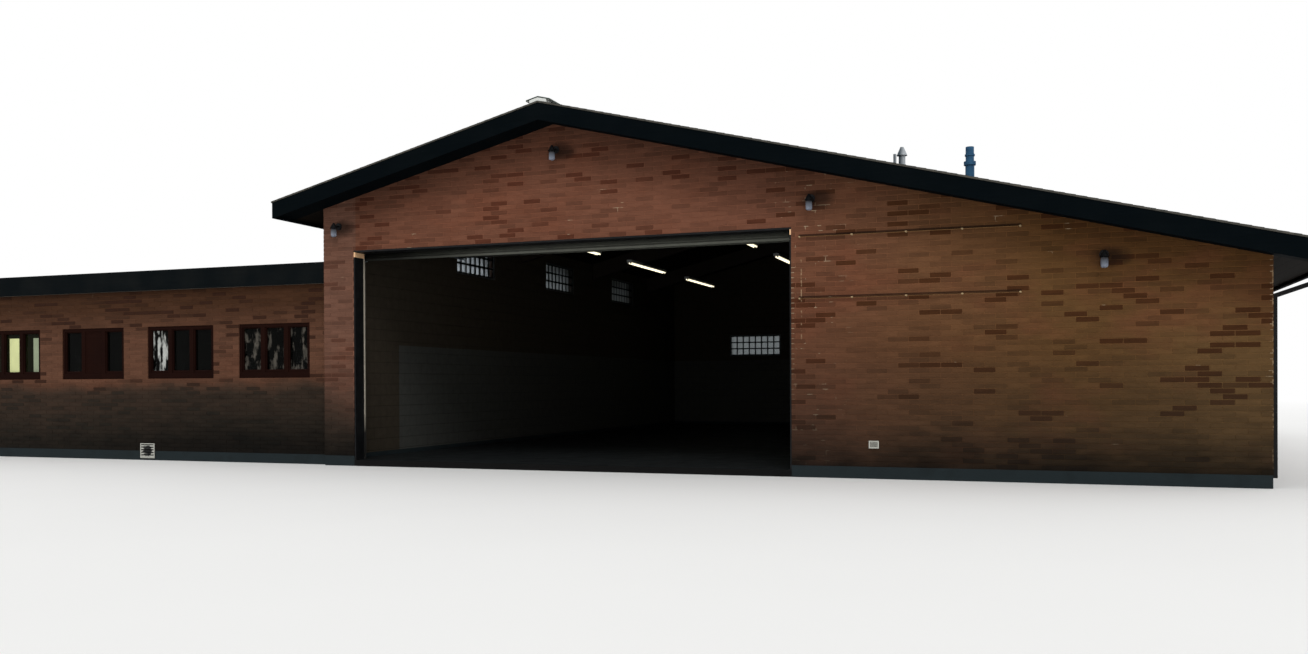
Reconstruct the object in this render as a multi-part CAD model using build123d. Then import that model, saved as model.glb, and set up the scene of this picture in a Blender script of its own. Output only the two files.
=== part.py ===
"""Small suburban fire station: a low gabled vehicle bay with one wide overhead doorway, and a
flat-roofed wing beside it. Millimetres, +X to the right along the front, +Y into the building, +Z up.

While the pieces are worked out, X=0 is the outer face of the bay's left wall, where the wing meets
it, Y=0 is the brick face of the front gable and Z=0 is the flat ground. Every piece is then shifted
sideways, so that the origin of the finished part is under the middle of the whole building.
"""

import math
import os

from build123d import *

os.makedirs("parts", exist_ok=True)

# Walls and ground floor. Heights of openings are counted in courses of brick
wall_thickness = 292
ground_to_sill = 100
brick_course = 76.2
foundation_rise = brick_course

# Front of the bay, from its left corner to its right one
pier_width = 610
doorway_width = 7772
doorway_height = 48 * brick_course
right_wall_width = 6401
bay_depth = 18593

# Low gabled roof over the bay
ridge_from_left = 4460
ridge_soffit_height = 5632
roof_slope = 0.25
roof_thickness = 245
deck_thickness = 150
fascia_thickness = 40
fascia_drop = 50
soffit_thickness = 20
rake_overhang = 580
eave_overhang = 640
edge_trim_height = 26
edge_trim_thickness = 12
ridge_vent_width = 410
ridge_vent_height = 75
ridge_cap_thickness = 22
ridge_cap_lip = 60
beam_depth = 400
beam_width = 130

# High windows of the bay: their sills are on the course nearest to this far under the soffit line
high_window_width = 1702
high_window_height = 9 * brick_course
high_window_drop = 777
first_high_window = 4950
high_window_pitch = 4340
high_windows_in_row = 3
high_frame_width = 38
high_frame_depth = 100
high_frame_from_inside = 12
glass_block_thickness = 80

# Flat-roofed wing
wing_length = 13411
wing_depth = 9144
wing_setback = 152
wing_wall_height = ground_to_sill + 41 * brick_course
wing_roof_thickness = 325
wing_overhang = 100
wing_fascia_height = 373
wing_floor_thickness = 152
floor_ledge = 100

# Windows of the wing, counted from the bay
wing_window_width = 1565
wing_window_height = 13 * brick_course
wing_window_sill = ground_to_sill + 19 * brick_course
wing_window_margin = 428
wing_window_pitch = 2146
wing_windows_in_row = 6
end_windows_in_row = 3
wing_frame_side = 60
wing_frame_bottom = 110
wing_mullion_width = 90
wing_lites = 3
wing_frame_depth = 110
wing_frame_recess = 15
glass_thickness = 8

# Lining of the doorway
jamb_thickness = 25
jamb_setback = 8
lintel_thickness = 30
head_block_height = 85
seal_thickness = 10
seal_depth = 30

# Overhead door, raised, with its lowest section just showing under the head
door_lap = 40
door_section_height = 610
door_sections = 6
door_panel_thickness = 45
door_rib_height = 8
door_rib_width = 60
ribs_per_section = 4
strut_width = 76
strut_depth = 48
strut_wall = 4
strut_inset = 150
door_section_gap = 4
door_to_wall = 38
hinge_offset = 10
hinge_barrel_radius = 8
hinge_leaf_length = 60
hinge_leaf_thickness = 4
hinge_width = 70
hinges_across = 4
door_bottom_drop = 155
track_radius = 380
track_under_beams = 306
track_inside = 50
track_depth = 45
track_wall = 4
track_overrun = 120
track_bracket_heights = (650, 1930, 3210)
roller_gap = 6
roller_clearance = 0.3
roller_width = 20
roller_stem = 12
hanger_width = 40
shaft_radius = 16
shaft_over_track = 270
shaft_from_wall = 130
drum_radius = 85
drum_length = 110
spring_radius = 48
spring_length = 1300
shaft_bracket_width = 30

# Hanging lights of the bay
light_length = 2440
light_width = 120
light_body_height = 55
light_diffuser_height = 40
light_diffuser_inset = 15
light_over_track = 130
light_rod_radius = 6
light_rod_inset = 420
light_rows_from_middle = (-1546, 1904)
first_light = 4300
light_pitch = 4210
lights_in_row = 3

# Lanterns on the front gable
lanterns_from_ridge = (-4145, 43, 4227, 8280)
lantern_below_soffit = 530
lantern_reach = 150
lantern_plate_radius = 62
lantern_plate_thickness = 18
lantern_cap_radius = 66
lantern_cap_height = 95
lantern_glass_radius = 49
lantern_glass_height = 150
lantern_arm_radius = 14

# Two taut wires for banners
wire_from_doorway = 132
wire_clip_pitch = 785
wire_clips = 5
wire_below_soffit = 232
wire_rise = 925
wire_radius = 8
wire_from_wall = 45
clip_radius = 9
clip_plate_radius = 15
clip_plate_thickness = 6

# Small grilles
louvre_width = 145
louvre_height = 111
louvre_from_doorway = 1155
louvre_bottom = 448
crawl_vent_width = 340
crawl_vent_height = 280
crawl_vent_left = -4312
crawl_vent_bottom = 38
grille_depth = 22
grille_border = 16
grille_slats = 5
slat_thickness_share = 0.25
slat_rise_share = 0.55

# Pipes through the roof
pipe_from_front = 1500
capped_pipe_from_right = 4943
capped_pipe_radius = 52
capped_pipe_top = 5080
pipe_cap_radius = 84
pipe_cap_height = 135
thin_pipe_from_right = 5055
thin_pipe_radius = 24
thin_pipe_top = 5045
flue_from_right = 3973
flue_from_front = 2500
flue_radius = 72
flue_top = 5276
flue_collar_radius = 96
flue_collar_height = 60
flue_head_radius = 67
flue_head_height = 240
flue_band_radius = 80
flue_band_height = 28
flue_band_rise = 90

# Gutter along the right eave and its pipe down the right wall
gutter_size = 110
gutter_wall = 4
gutter_below_top = 30
spout_width = 60
spout_depth = 80
spout_from_front = 160
spout_from_wall = 12
spout_foot = 130
spout_offset_slope = 0.35
strap_height = 30
strap_from_end = 180

# Places worked out from the sizes above
foundation_top = ground_to_sill + foundation_rise
doorway_right = pier_width + doorway_width
bay_width = doorway_right + right_wall_width
doorway_head = ground_to_sill + doorway_height
deck_bottom = roof_thickness - deck_thickness
rake_front = -rake_overhang
rake_rear = bay_depth + rake_overhang
eave_left = -eave_overhang
eave_right = bay_width + eave_overhang
wing_front = wing_setback
wing_rear = wing_setback + wing_depth
wing_left = -wing_length
wing_floor_top = foundation_top + wing_floor_thickness
door_centre_x = pier_width + doorway_width / 2
inside_x = (wall_thickness, bay_width - wall_thickness)
inside_y = (wall_thickness, bay_depth - wall_thickness)

# The origin of the part, under the middle of the building
west_end = wing_left - wing_overhang
east_end = eave_right + gutter_size
middle = (-(west_end + east_end) / 2, -bay_depth / 2, 0)


def export(name, *pieces):
    """Writes the pieces as one node, shifted to the part's own origin."""
    solids = [solid.moved(Location(middle)) for piece in pieces for solid in piece.solids()]
    export_step(solids[0] if len(solids) == 1 else Compound(children=solids), f"parts/{name}.step")


def block(x, y, z):
    """A box from three pairs of limits."""
    middles = [(low + high) / 2 for low, high in (x, y, z)]
    return Pos(*middles) * Box(x[1] - x[0], y[1] - y[0], z[1] - z[0])


def drum(radius, start, end):
    """A round bar between two points."""
    along = Vector(*end) - Vector(*start)
    ends = Plane(origin=start, z_dir=along)
    return extrude(ends * Circle(radius), amount=along.length)


def prism_along_y(outline, y):
    """An outline of (x, z) points, stretched from y[0] to y[1]."""
    face = make_face(Polyline(*[(px, y[0], pz) for px, pz in outline], close=True))
    return extrude(face, amount=y[1] - y[0], dir=(0, 1, 0))


def prism_along_x(outline, x):
    """An outline of (y, z) points, stretched from x[0] to x[1]."""
    face = make_face(Polyline(*[(x[0], py, pz) for py, pz in outline], close=True))
    return extrude(face, amount=x[1] - x[0], dir=(1, 0, 0))


def soffit_at(x):
    """Height of the roof's underside at its edges, which follows both slopes."""
    return ridge_soffit_height - roof_slope * abs(x - ridge_from_left)


def on_course(height):
    """The nearest joint between courses of brick."""
    return ground_to_sill + brick_course * round((height - ground_to_sill) / brick_course)


def roof_layer(x, y, low, high):
    """A layer that follows the slopes, between two heights over the soffit line."""
    stations = [x[0], x[1]]
    if x[0] < ridge_from_left < x[1]:
        stations.insert(1, ridge_from_left)
    under = [(station, soffit_at(station) + low) for station in stations]
    over = [(station, soffit_at(station) + high) for station in reversed(stations)]
    return prism_along_y(under + over, y)


def wall_under_roof(x, y, bottom):
    """A wall that rises to the underside of the roof deck."""
    stations = [x[0], x[1]]
    if x[0] < ridge_from_left < x[1]:
        stations.insert(1, ridge_from_left)
    top = [(station, soffit_at(station) + deck_bottom) for station in reversed(stations)]
    return prism_along_y([(x[0], bottom), (x[1], bottom)] + top, y)


# Where the windows are: centre of each along its wall
high_window_centres = [first_high_window + high_window_pitch * i for i in range(high_windows_in_row)]
first_rear_window = bay_width / 2 - high_window_pitch * (high_windows_in_row - 1) / 2
rear_high_centres = [first_rear_window + high_window_pitch * i for i in range(high_windows_in_row)]
nearest_wing_window = -wing_window_margin - wing_window_width / 2
wing_window_centres = [nearest_wing_window - wing_window_pitch * i for i in range(wing_windows_in_row)]
first_end_window = wing_front + wing_depth / 2 - wing_window_pitch * (end_windows_in_row - 1) / 2
end_window_centres = [first_end_window + wing_window_pitch * i for i in range(end_windows_in_row)]
left_high_sill = on_course(soffit_at(0) - high_window_drop)
right_high_sill = on_course(soffit_at(bay_width) - high_window_drop)

left_wall_x = (0, wall_thickness)
right_wall_x = (bay_width - wall_thickness, bay_width)
rear_wall_y = (bay_depth - wall_thickness, bay_depth)
wing_front_y = (wing_front, wing_front + wall_thickness)
wing_rear_y = (wing_rear - wall_thickness, wing_rear)
wing_end_x = (wing_left, wing_left + wall_thickness)


def span(centre, width):
    """The limits of something by its centre and its width."""
    return (centre - width / 2, centre + width / 2)


def high_holes_side(x, sill):
    """Cutters for the high windows of a side wall."""
    rise = (sill, sill + high_window_height)
    return [block(x, span(centre, high_window_width), rise) for centre in high_window_centres]


def high_holes_rear():
    """Cutters for the high windows of the rear wall."""
    rise = (right_high_sill, right_high_sill + high_window_height)
    return [block(span(centre, high_window_width), rear_wall_y, rise) for centre in rear_high_centres]


def wing_holes_row(y):
    """Cutters for the windows of a long wall of the wing."""
    rise = (wing_window_sill, wing_window_sill + wing_window_height)
    return [block(span(centre, wing_window_width), y, rise) for centre in wing_window_centres]


def wing_holes_end():
    """Cutters for the windows of the wing's end wall."""
    rise = (wing_window_sill, wing_window_sill + wing_window_height)
    return [block(wing_end_x, span(centre, wing_window_width), rise) for centre in end_window_centres]


# Foundations and floors
def make_bay_foundation():
    """A concrete kerb round the bay, open at the doorway."""
    rise = (0, foundation_top)
    doorway = block((pier_width, doorway_right), (0, wall_thickness), rise)
    return block((0, bay_width), (0, bay_depth), rise) - block(inside_x, inside_y, rise) - doorway


def make_bay_floor():
    """The bay's slab, with its tongue through the doorway."""
    rise = (0, ground_to_sill)
    return block(inside_x, inside_y, rise) + block((pier_width, doorway_right), (0, wall_thickness), rise)


def make_wing_foundation():
    """A concrete ring, wider than the walls by the ledge that carries the floor."""
    ring, rise = wall_thickness + floor_ledge, (0, foundation_top)
    inside = block((wing_left + ring, -floor_ledge), (wing_front + ring, wing_rear - ring), rise)
    return block((wing_left, 0), (wing_front, wing_rear), rise) - inside


def make_wing_floor():
    """The wing's floor, which rests on the ledge."""
    return block(
        (wing_left + wall_thickness, 0),
        (wing_front + wall_thickness, wing_rear - wall_thickness),
        (foundation_top, wing_floor_top),
    )


export("bay_foundation", make_bay_foundation())
export("bay_floor", make_bay_floor())
export("wing_foundation", make_wing_foundation())
export("wing_floor", make_wing_floor())

# Brick walls of the bay, split beside and over the doorway
front_wall_y = (0, wall_thickness)
left_wall = wall_under_roof(left_wall_x, inside_y, foundation_top)
right_wall = wall_under_roof(right_wall_x, inside_y, foundation_top)
rear_wall = wall_under_roof((0, bay_width), rear_wall_y, foundation_top)
export("door_pier", wall_under_roof((0, pier_width), front_wall_y, foundation_top))
export("wall_over_door", wall_under_roof((pier_width, doorway_right), front_wall_y, doorway_head))
export("front_wall_right", wall_under_roof((doorway_right, bay_width), front_wall_y, foundation_top))
export("bay_left_wall", left_wall - high_holes_side(left_wall_x, left_high_sill))
export("bay_right_wall", right_wall - high_holes_side(right_wall_x, right_high_sill))
export("bay_rear_wall", rear_wall - high_holes_rear())

# Brick walls of the wing
wing_wall_z = (foundation_top, wing_wall_height)
wing_between_y = (wing_front_y[1], wing_rear_y[0])
export("wing_front_wall", block((wing_left, 0), wing_front_y, wing_wall_z) - wing_holes_row(wing_front_y))
export("wing_rear_wall", block((wing_left, 0), wing_rear_y, wing_wall_z) - wing_holes_row(wing_rear_y))
export("wing_end_wall", block(wing_end_x, wing_between_y, wing_wall_z) - wing_holes_end())

# The roof over the bay
inner_eaves = (eave_left + fascia_thickness, eave_right - fascia_thickness)
inner_rakes = (rake_front + fascia_thickness, rake_rear - fascia_thickness)
deck = (inner_rakes, deck_bottom, roof_thickness)
export("roof_deck_left", roof_layer((inner_eaves[0], ridge_from_left), *deck))
export("roof_deck_right", roof_layer((ridge_from_left, inner_eaves[1]), *deck))
full_width = (eave_left, eave_right)
export(
    "gable_fascias",
    roof_layer(full_width, (rake_front, inner_rakes[0]), -fascia_drop, roof_thickness),
    roof_layer(full_width, (inner_rakes[1], rake_rear), -fascia_drop, roof_thickness),
)
export(
    "eave_fascias",
    roof_layer((eave_left, inner_eaves[0]), inner_rakes, -fascia_drop, roof_thickness),
    roof_layer((inner_eaves[1], eave_right), inner_rakes, -fascia_drop, roof_thickness),
)
export(
    "gable_soffits",
    roof_layer(inner_eaves, (inner_rakes[0], 0), 0, soffit_thickness),
    roof_layer(inner_eaves, (bay_depth, inner_rakes[1]), 0, soffit_thickness),
)
export(
    "eave_soffits",
    roof_layer((inner_eaves[0], 0), (0, bay_depth), 0, soffit_thickness),
    roof_layer((bay_width, inner_eaves[1]), (0, bay_depth), 0, soffit_thickness),
)


def make_ridge_vent():
    """The vent's body along both slopes, and the cap that oversails it."""
    y, body_width = (rake_front, rake_rear), ridge_vent_width - 2 * ridge_cap_lip
    cap_bottom = roof_thickness + ridge_vent_height - ridge_cap_thickness
    body = roof_layer(span(ridge_from_left, body_width), y, roof_thickness, cap_bottom)
    cap_top = roof_thickness + ridge_vent_height
    return body + roof_layer(span(ridge_from_left, ridge_vent_width), y, cap_bottom, cap_top)


export("ridge_vent", make_ridge_vent())


def make_edge_trim():
    """A metal strip along the top of the boards at both gables and the left eave."""
    rise = (roof_thickness - edge_trim_height, roof_thickness)
    trim_left = eave_left - edge_trim_thickness
    front = roof_layer((trim_left, eave_right), (rake_front - edge_trim_thickness, rake_front), *rise)
    rear = roof_layer((trim_left, eave_right), (rake_rear, rake_rear + edge_trim_thickness), *rise)
    return front + rear + roof_layer((trim_left, eave_left), (rake_front, rake_rear), *rise)


export("roof_edge_trim", make_edge_trim())

# Cranked timber beams under the deck, between the high windows
first_beam = first_high_window - high_window_pitch / 2
beam_centres = [first_beam + high_window_pitch * i for i in range(high_windows_in_row + 1)]
beam_layer = (deck_bottom - beam_depth, deck_bottom)
export("roof_beams", *[roof_layer(inside_x, span(y, beam_width), *beam_layer) for y in beam_centres])

# The wing's flat roof, edged by a deep board
wing_roof_x = (wing_left - wing_overhang + fascia_thickness, 0)
wing_board_y = (wing_front - wing_overhang, wing_rear + wing_overhang)
wing_roof_y = (wing_board_y[0] + fascia_thickness, wing_board_y[1] - fascia_thickness)
wing_fascia_z = (wing_wall_height, wing_wall_height + wing_fascia_height)


def make_wing_fascia():
    """The edge board round three sides of the wing's roof."""
    outside = block((wing_left - wing_overhang, 0), wing_board_y, wing_fascia_z)
    return outside - block(wing_roof_x, wing_roof_y, wing_fascia_z)


wing_roof_z = (wing_wall_height, wing_wall_height + wing_roof_thickness)
export("wing_roof", block(wing_roof_x, wing_roof_y, wing_roof_z))
export("wing_fascia", make_wing_fascia())


# High windows: a slim steel frame round a panel of glass, near the room's side of the wall
def near_inside(wall, middle):
    """Centre of a window frame in a wall's thickness, from the middle of the bay."""
    depth = high_frame_from_inside + high_frame_depth / 2
    return wall[1] - depth if wall[1] < middle else wall[0] + depth


def high_frame(hole):
    """A frame that fills the hole, and the panel inside it."""
    size = hole.bounding_box()
    x, y, z = [(low, high) for low, high in zip(size.min, size.max)]
    z_in = (z[0] + high_frame_width, z[1] - high_frame_width)
    if x[1] - x[0] < y[1] - y[0]:
        x_mid, y_in = near_inside(x, bay_width / 2), (y[0] + high_frame_width, y[1] - high_frame_width)
        frame = block(span(x_mid, high_frame_depth), y, z) - block(x, y_in, z_in)
        return frame, block(span(x_mid, glass_block_thickness), y_in, z_in)
    y_mid, x_in = near_inside(y, bay_depth / 2), (x[0] + high_frame_width, x[1] - high_frame_width)
    frame = block(x, span(y_mid, high_frame_depth), z) - block(x_in, y, z_in)
    return frame, block(x_in, span(y_mid, glass_block_thickness), z_in)


high_holes = high_holes_side(left_wall_x, left_high_sill)
high_holes += high_holes_side(right_wall_x, right_high_sill) + high_holes_rear()
high_pairs = [high_frame(hole) for hole in high_holes]
export("high_window_frames", *[frame for frame, _ in high_pairs])
export("high_window_glass", *[glass for _, glass in high_pairs])


# Windows of the wing: a timber frame with three lites, and one sheet of glass behind its posts
mullions_width = (wing_lites - 1) * wing_mullion_width
lite_width = (wing_window_width - 2 * wing_frame_side - mullions_width) / wing_lites
frame_front_depth = wing_frame_depth / 2


def wing_frame_flat():
    """Frame and glass of one window, centred on X=0, with its outer face at Y=0, looking out to -Y."""
    x, z = span(0, wing_window_width), (0, wing_window_height)
    lite_z = (wing_frame_bottom, wing_window_height - wing_frame_side)
    frame = block(x, (0, wing_frame_depth), z)
    for i in range(wing_lites):
        left = x[0] + wing_frame_side + i * (lite_width + wing_mullion_width)
        frame -= block((left, left + lite_width), (0, wing_frame_depth), lite_z)
    rebate_x = (x[0] + wing_frame_side / 2, x[1] - wing_frame_side / 2)
    rebate_z = (lite_z[0] - wing_frame_side / 2, lite_z[1] + wing_frame_side / 2)
    frame -= block(rebate_x, (frame_front_depth, wing_frame_depth), rebate_z)
    glass = block(rebate_x, (frame_front_depth, frame_front_depth + glass_thickness), rebate_z)
    return frame, glass


flat_frame, flat_glass = wing_frame_flat()
front_y, rear_y = wing_front + wing_frame_recess, wing_rear - wing_frame_recess
end_x = wing_left + wing_frame_recess
window_places = [Pos(x, front_y, wing_window_sill) for x in wing_window_centres]
window_places += [Pos(x, rear_y, wing_window_sill) * Rot(0, 0, 180) for x in wing_window_centres]
window_places += [Pos(end_x, y, wing_window_sill) * Rot(0, 0, -90) for y in end_window_centres]
export("wing_window_frames", *[place * flat_frame for place in window_places])
export("wing_window_glass", *[place * flat_glass for place in window_places])

# Lining of the doorway
lining_y = (jamb_setback, wall_thickness)
left_jamb_x = (pier_width, pier_width + jamb_thickness)
right_jamb_x = (doorway_right - jamb_thickness, doorway_right)
lintel_bottom = doorway_head - lintel_thickness
block_bottom = lintel_bottom - head_block_height
jamb_z = (ground_to_sill, block_bottom)
export("door_lintel", block((pier_width, doorway_right), lining_y, (lintel_bottom, doorway_head)))
export("door_jambs", block(left_jamb_x, lining_y, jamb_z), block(right_jamb_x, lining_y, jamb_z))
export(
    "door_head_blocks",
    block(left_jamb_x, lining_y, (block_bottom, lintel_bottom)),
    block(right_jamb_x, lining_y, (block_bottom, lintel_bottom)),
)
seal_y = (wall_thickness - seal_depth, wall_thickness)
export(
    "door_seals",
    block((left_jamb_x[1], left_jamb_x[1] + seal_thickness), seal_y, jamb_z),
    block((right_jamb_x[0] - seal_thickness, right_jamb_x[0]), seal_y, jamb_z),
)

# The overhead door on its curved tracks. Its hinge pins and rollers lie on one path, which goes up
# behind the wall, round a quarter circle and back under the roof. The sections hang on its outer side.
track_height = soffit_at(doorway_right) + beam_layer[0] - track_under_beams
door_plane_y = wall_thickness + door_to_wall + door_panel_thickness + hinge_offset
curve_start_z = track_height - track_radius
curve_length = math.pi / 2 * track_radius


def path_point(travel):
    """Y and Z at a distance along the path, counted from where the curve starts."""
    if travel <= 0:
        return door_plane_y, curve_start_z + travel
    if travel >= curve_length:
        return door_plane_y + track_radius + travel - curve_length, track_height
    turn = travel / track_radius
    return (
        door_plane_y + track_radius * (1 - math.cos(turn)),
        curve_start_z + track_radius * math.sin(turn),
    )


def next_hinge(travel):
    """Distance along the path of the point one section further on, found by halving."""
    start, low, high = path_point(travel), travel, travel + 2 * door_section_height
    for _ in range(50):
        half = (low + high) / 2
        if math.dist(start, path_point(half)) < door_section_height:
            low = half
        else:
            high = half
    return low


hinge_travels = [doorway_head - door_bottom_drop - curve_start_z]
for _ in range(door_sections):
    hinge_travels.append(next_hinge(hinge_travels[-1]))
hinges = [path_point(travel) for travel in hinge_travels]
door_x = (pier_width - door_lap, doorway_right + door_lap)


def in_section(i, piece):
    """Places a piece drawn upright round the origin in the middle of a section's two hinge lines."""
    lower, upper = hinges[i], hinges[i + 1]
    lean = math.degrees(math.atan2(upper[0] - lower[0], upper[1] - lower[1]))
    return Pos(0, (lower[0] + upper[0]) / 2, (lower[1] + upper[1]) / 2) * Rot(-lean, 0, 0) * piece


def make_section():
    """A section, upright round the origin: ribs on its outer face, a channel strut on its inner one."""
    panel_height = door_section_height - door_section_gap
    inner = -hinge_offset
    outer = inner - door_panel_thickness
    panel = block(door_x, (outer, inner), span(0, panel_height))
    rib_pitch = panel_height / ribs_per_section
    for i in range(ribs_per_section):
        rib_z = -panel_height / 2 + (i + 0.5) * rib_pitch
        panel += block(door_x, (outer - door_rib_height, outer), span(rib_z, door_rib_width))
    strut_x = (door_x[0] + strut_inset, door_x[1] - strut_inset)
    strut = block(strut_x, (inner, inner + strut_depth), span(0, strut_width))
    hollow_y, hollow_z = (inner, inner + strut_depth - strut_wall), span(0, strut_width - 2 * strut_wall)
    return panel + (strut - block(strut_x, hollow_y, hollow_z))


def hinge_leaf(x, end):
    """A hinge's leaf on the inner face; end is -1 at the section's foot and 1 at its head."""
    z = sorted((end * door_section_height / 2, end * (door_section_height / 2 - hinge_leaf_length)))
    return block(x, (-hinge_offset, -hinge_offset + hinge_leaf_thickness), z)


def make_hinge(line, x):
    """A hinge on one of the pin lines, with a leaf on each section that meets there."""
    hinge = drum(hinge_barrel_radius, (x[0], *hinges[line]), (x[1], *hinges[line]))
    if line > 0:
        hinge += in_section(line - 1, hinge_leaf(x, 1))
    if line < door_sections:
        hinge += in_section(line, hinge_leaf(x, -1))
    return hinge


hinge_pitch = (doorway_width + 2 * door_lap - hinge_width) / (hinges_across - 1)
hinge_starts = [door_x[0] + hinge_pitch * i for i in range(hinges_across)]
hinge_spans = [(start, start + hinge_width) for start in hinge_starts]
end_spans = [hinge_spans[0], hinge_spans[-1]]
export("overhead_door", *[in_section(i, make_section()) for i in range(door_sections)])
export(
    "door_hinges",
    *[make_hinge(line, x) for line in range(1, door_sections) for x in hinge_spans],
    *[make_hinge(line, x) for line in (0, door_sections) for x in end_spans],
)

# Tracks: channels open towards the door, with brackets to the wall and hangers to the roof
track_outside = track_inside + 2 * track_wall
track_end_y = hinges[-1][0] + track_overrun
track_near = door_lap + roller_gap


def make_track(side):
    """One track; side is -1 on the left and 1 on the right."""
    edge = door_centre_x + side * (doorway_width / 2 + track_near)
    web = edge + side * track_depth
    x = (min(edge, web), max(edge, web))
    slot_x = (min(edge, web - side * track_wall), max(edge, web - side * track_wall))
    centre = (door_plane_y + track_radius, curve_start_z)
    turn_axis = Axis((0, *centre), (-1, 0, 0))

    def rail(half, limits):
        """The track's path thickened to a bar: upright, quarter turn and level run."""
        upright = block(limits, span(door_plane_y, 2 * half), (ground_to_sill, curve_start_z))
        start = upright.faces().sort_by(Axis.Z)[-1]
        bend = revolve(start, axis=turn_axis, revolution_arc=90)
        level = block(limits, (centre[0], track_end_y), span(track_height, 2 * half))
        return upright + bend + level

    track = rail(track_outside / 2, x) - rail(track_inside / 2, slot_x)
    bracket_y = (wall_thickness, door_plane_y - track_outside / 2)
    for bracket_z in track_bracket_heights:
        track += block(x, bracket_y, span(bracket_z, hanger_width))
    top = track_height + track_outside / 2
    web_x = (min(web, web - side * track_wall), max(web, web - side * track_wall))
    track += roof_reach(web_x, span(beam_centres[0], hanger_width), top, deck_bottom - beam_depth)
    track += roof_reach(web_x, (track_end_y - hanger_width, track_end_y), top, deck_bottom)
    return track


def roof_reach(x, y, bottom, offset):
    """A hanger from a height up to a layer of the roof."""
    top = [(station, soffit_at(station) + offset) for station in reversed(x)]
    return prism_along_y([(x[0], bottom), (x[1], bottom)] + top, y)


export("door_tracks", make_track(-1), make_track(1))


def make_roller(side, point):
    """A roller in its track and the stem that reaches it from the end hinge."""
    edge = door_centre_x + side * (doorway_width / 2 + door_lap)
    web = edge + side * (roller_gap + track_depth - track_wall)
    wheel_start = web - side * (roller_width + roller_clearance)
    wheel_end = web - side * roller_clearance
    stem = drum(roller_stem / 2, (edge, *point), (wheel_start, *point))
    wheel_radius = track_inside / 2 - roller_clearance
    return stem + drum(wheel_radius, (wheel_start, *point), (wheel_end, *point))


export("door_rollers", *[make_roller(side, point) for side in (-1, 1) for point in hinges])

# Spring shaft over the door, on three wall brackets
shaft_y = wall_thickness + shaft_from_wall
shaft_height = track_height + shaft_over_track
shaft_x = (door_x[0] - drum_length, door_x[1] + drum_length)


def make_spring_shaft():
    """Shaft, cable drums and the two torsion springs either side of the middle bracket."""

    def ring(radius, start, length):
        return drum(radius, (start, shaft_y, shaft_height), (start + length, shaft_y, shaft_height))

    shaft = ring(shaft_radius, shaft_x[0], shaft_x[1] - shaft_x[0])
    for start in (shaft_x[0], shaft_x[1] - drum_length):
        shaft += ring(drum_radius, start, drum_length)
    for start in (door_centre_x - spring_length, door_centre_x):
        shaft += ring(spring_radius, start, spring_length)
    bracket_y = (wall_thickness, shaft_y + 2 * shaft_radius)
    bracket_z = span(shaft_height, 4 * shaft_radius)
    for centre in (door_centre_x, door_x[0] + 2 * drum_length, door_x[1] - 2 * drum_length):
        shaft += block(span(centre, shaft_bracket_width), bracket_y, bracket_z)
    return shaft


export("door_spring_shaft", make_spring_shaft())

# Hanging lights
light_ys = [first_light + light_pitch * i for i in range(lights_in_row)]
light_centres = [(door_centre_x + x, y) for x in light_rows_from_middle for y in light_ys]
light_bottom = track_height + light_over_track
diffuser_z = (light_bottom, light_bottom + light_diffuser_height)
body_z = (diffuser_z[1], diffuser_z[1] + light_body_height)


def make_light(x, y):
    """A light's body and its two rods up to the deck."""
    light = block(span(x, light_width), span(y, light_length), body_z)
    for side in (-1, 1):
        rod_y = y + side * (light_length / 2 - light_rod_inset)
        reach = soffit_at(x) + deck_bottom + light_rod_radius
        rod = drum(light_rod_radius, (x, rod_y, body_z[1]), (x, rod_y, reach))
        light += rod - roof_layer(inside_x, span(rod_y, light_width), deck_bottom, roof_thickness)
    return light


export("light_bodies", *[make_light(x, y) for x, y in light_centres])
diffuser_width = light_width - 2 * light_diffuser_inset
diffuser_length = light_length - 2 * light_diffuser_inset
export(
    "light_diffusers",
    *[block(span(x, diffuser_width), span(y, diffuser_length), diffuser_z) for x, y in light_centres],
)

# Lanterns under the front soffit, spaced out from the ridge
lantern_xs = [ridge_from_left + place for place in lanterns_from_ridge]


def make_lantern(x):
    """Wall plate, arm and domed cap, and the jar of glass that hangs in it."""
    z = soffit_at(x) - lantern_below_soffit
    jar_top = z + lantern_glass_height / 2
    arm_z = jar_top + lantern_cap_height / 2
    plate = drum(lantern_plate_radius, (x, 0, arm_z), (x, -lantern_plate_thickness, arm_z))
    arm = drum(lantern_arm_radius, (x, 0, arm_z), (x, -lantern_reach, arm_z))
    cap = Pos(x, -lantern_reach, jar_top + lantern_cap_height / 2) * Cone(
        lantern_cap_radius, lantern_arm_radius, lantern_cap_height
    )
    jar = Pos(x, -lantern_reach, jar_top - lantern_glass_height / 2) * Cylinder(
        lantern_glass_radius, lantern_glass_height
    )
    return plate + arm + cap, fillet(jar.edges().sort_by(Axis.Z)[0], lantern_glass_radius / 2)


lanterns = [make_lantern(x) for x in lantern_xs]
export("wall_lanterns", *[body for body, _ in lanterns])
export("lantern_glass", *[jar for _, jar in lanterns])


wire_left = doorway_right + wire_from_doorway
wire_length = wire_clip_pitch * (wire_clips - 1)
wire_top = soffit_at(wire_left + wire_length) - wire_below_soffit


def make_wire(z):
    """A taut wire with its clips."""
    wire_right = wire_left + wire_length
    wire = drum(wire_radius, (wire_left, -wire_from_wall, z), (wire_right, -wire_from_wall, z))
    for i in range(wire_clips):
        x = wire_left + wire_clip_pitch * i
        wire += drum(clip_radius, (x, 0, z), (x, -wire_from_wall - clip_radius, z))
        wire += drum(clip_plate_radius, (x, 0, z), (x, -clip_plate_thickness, z))
    return wire


export("banner_wires", make_wire(wire_top - wire_rise), make_wire(wire_top))


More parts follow.
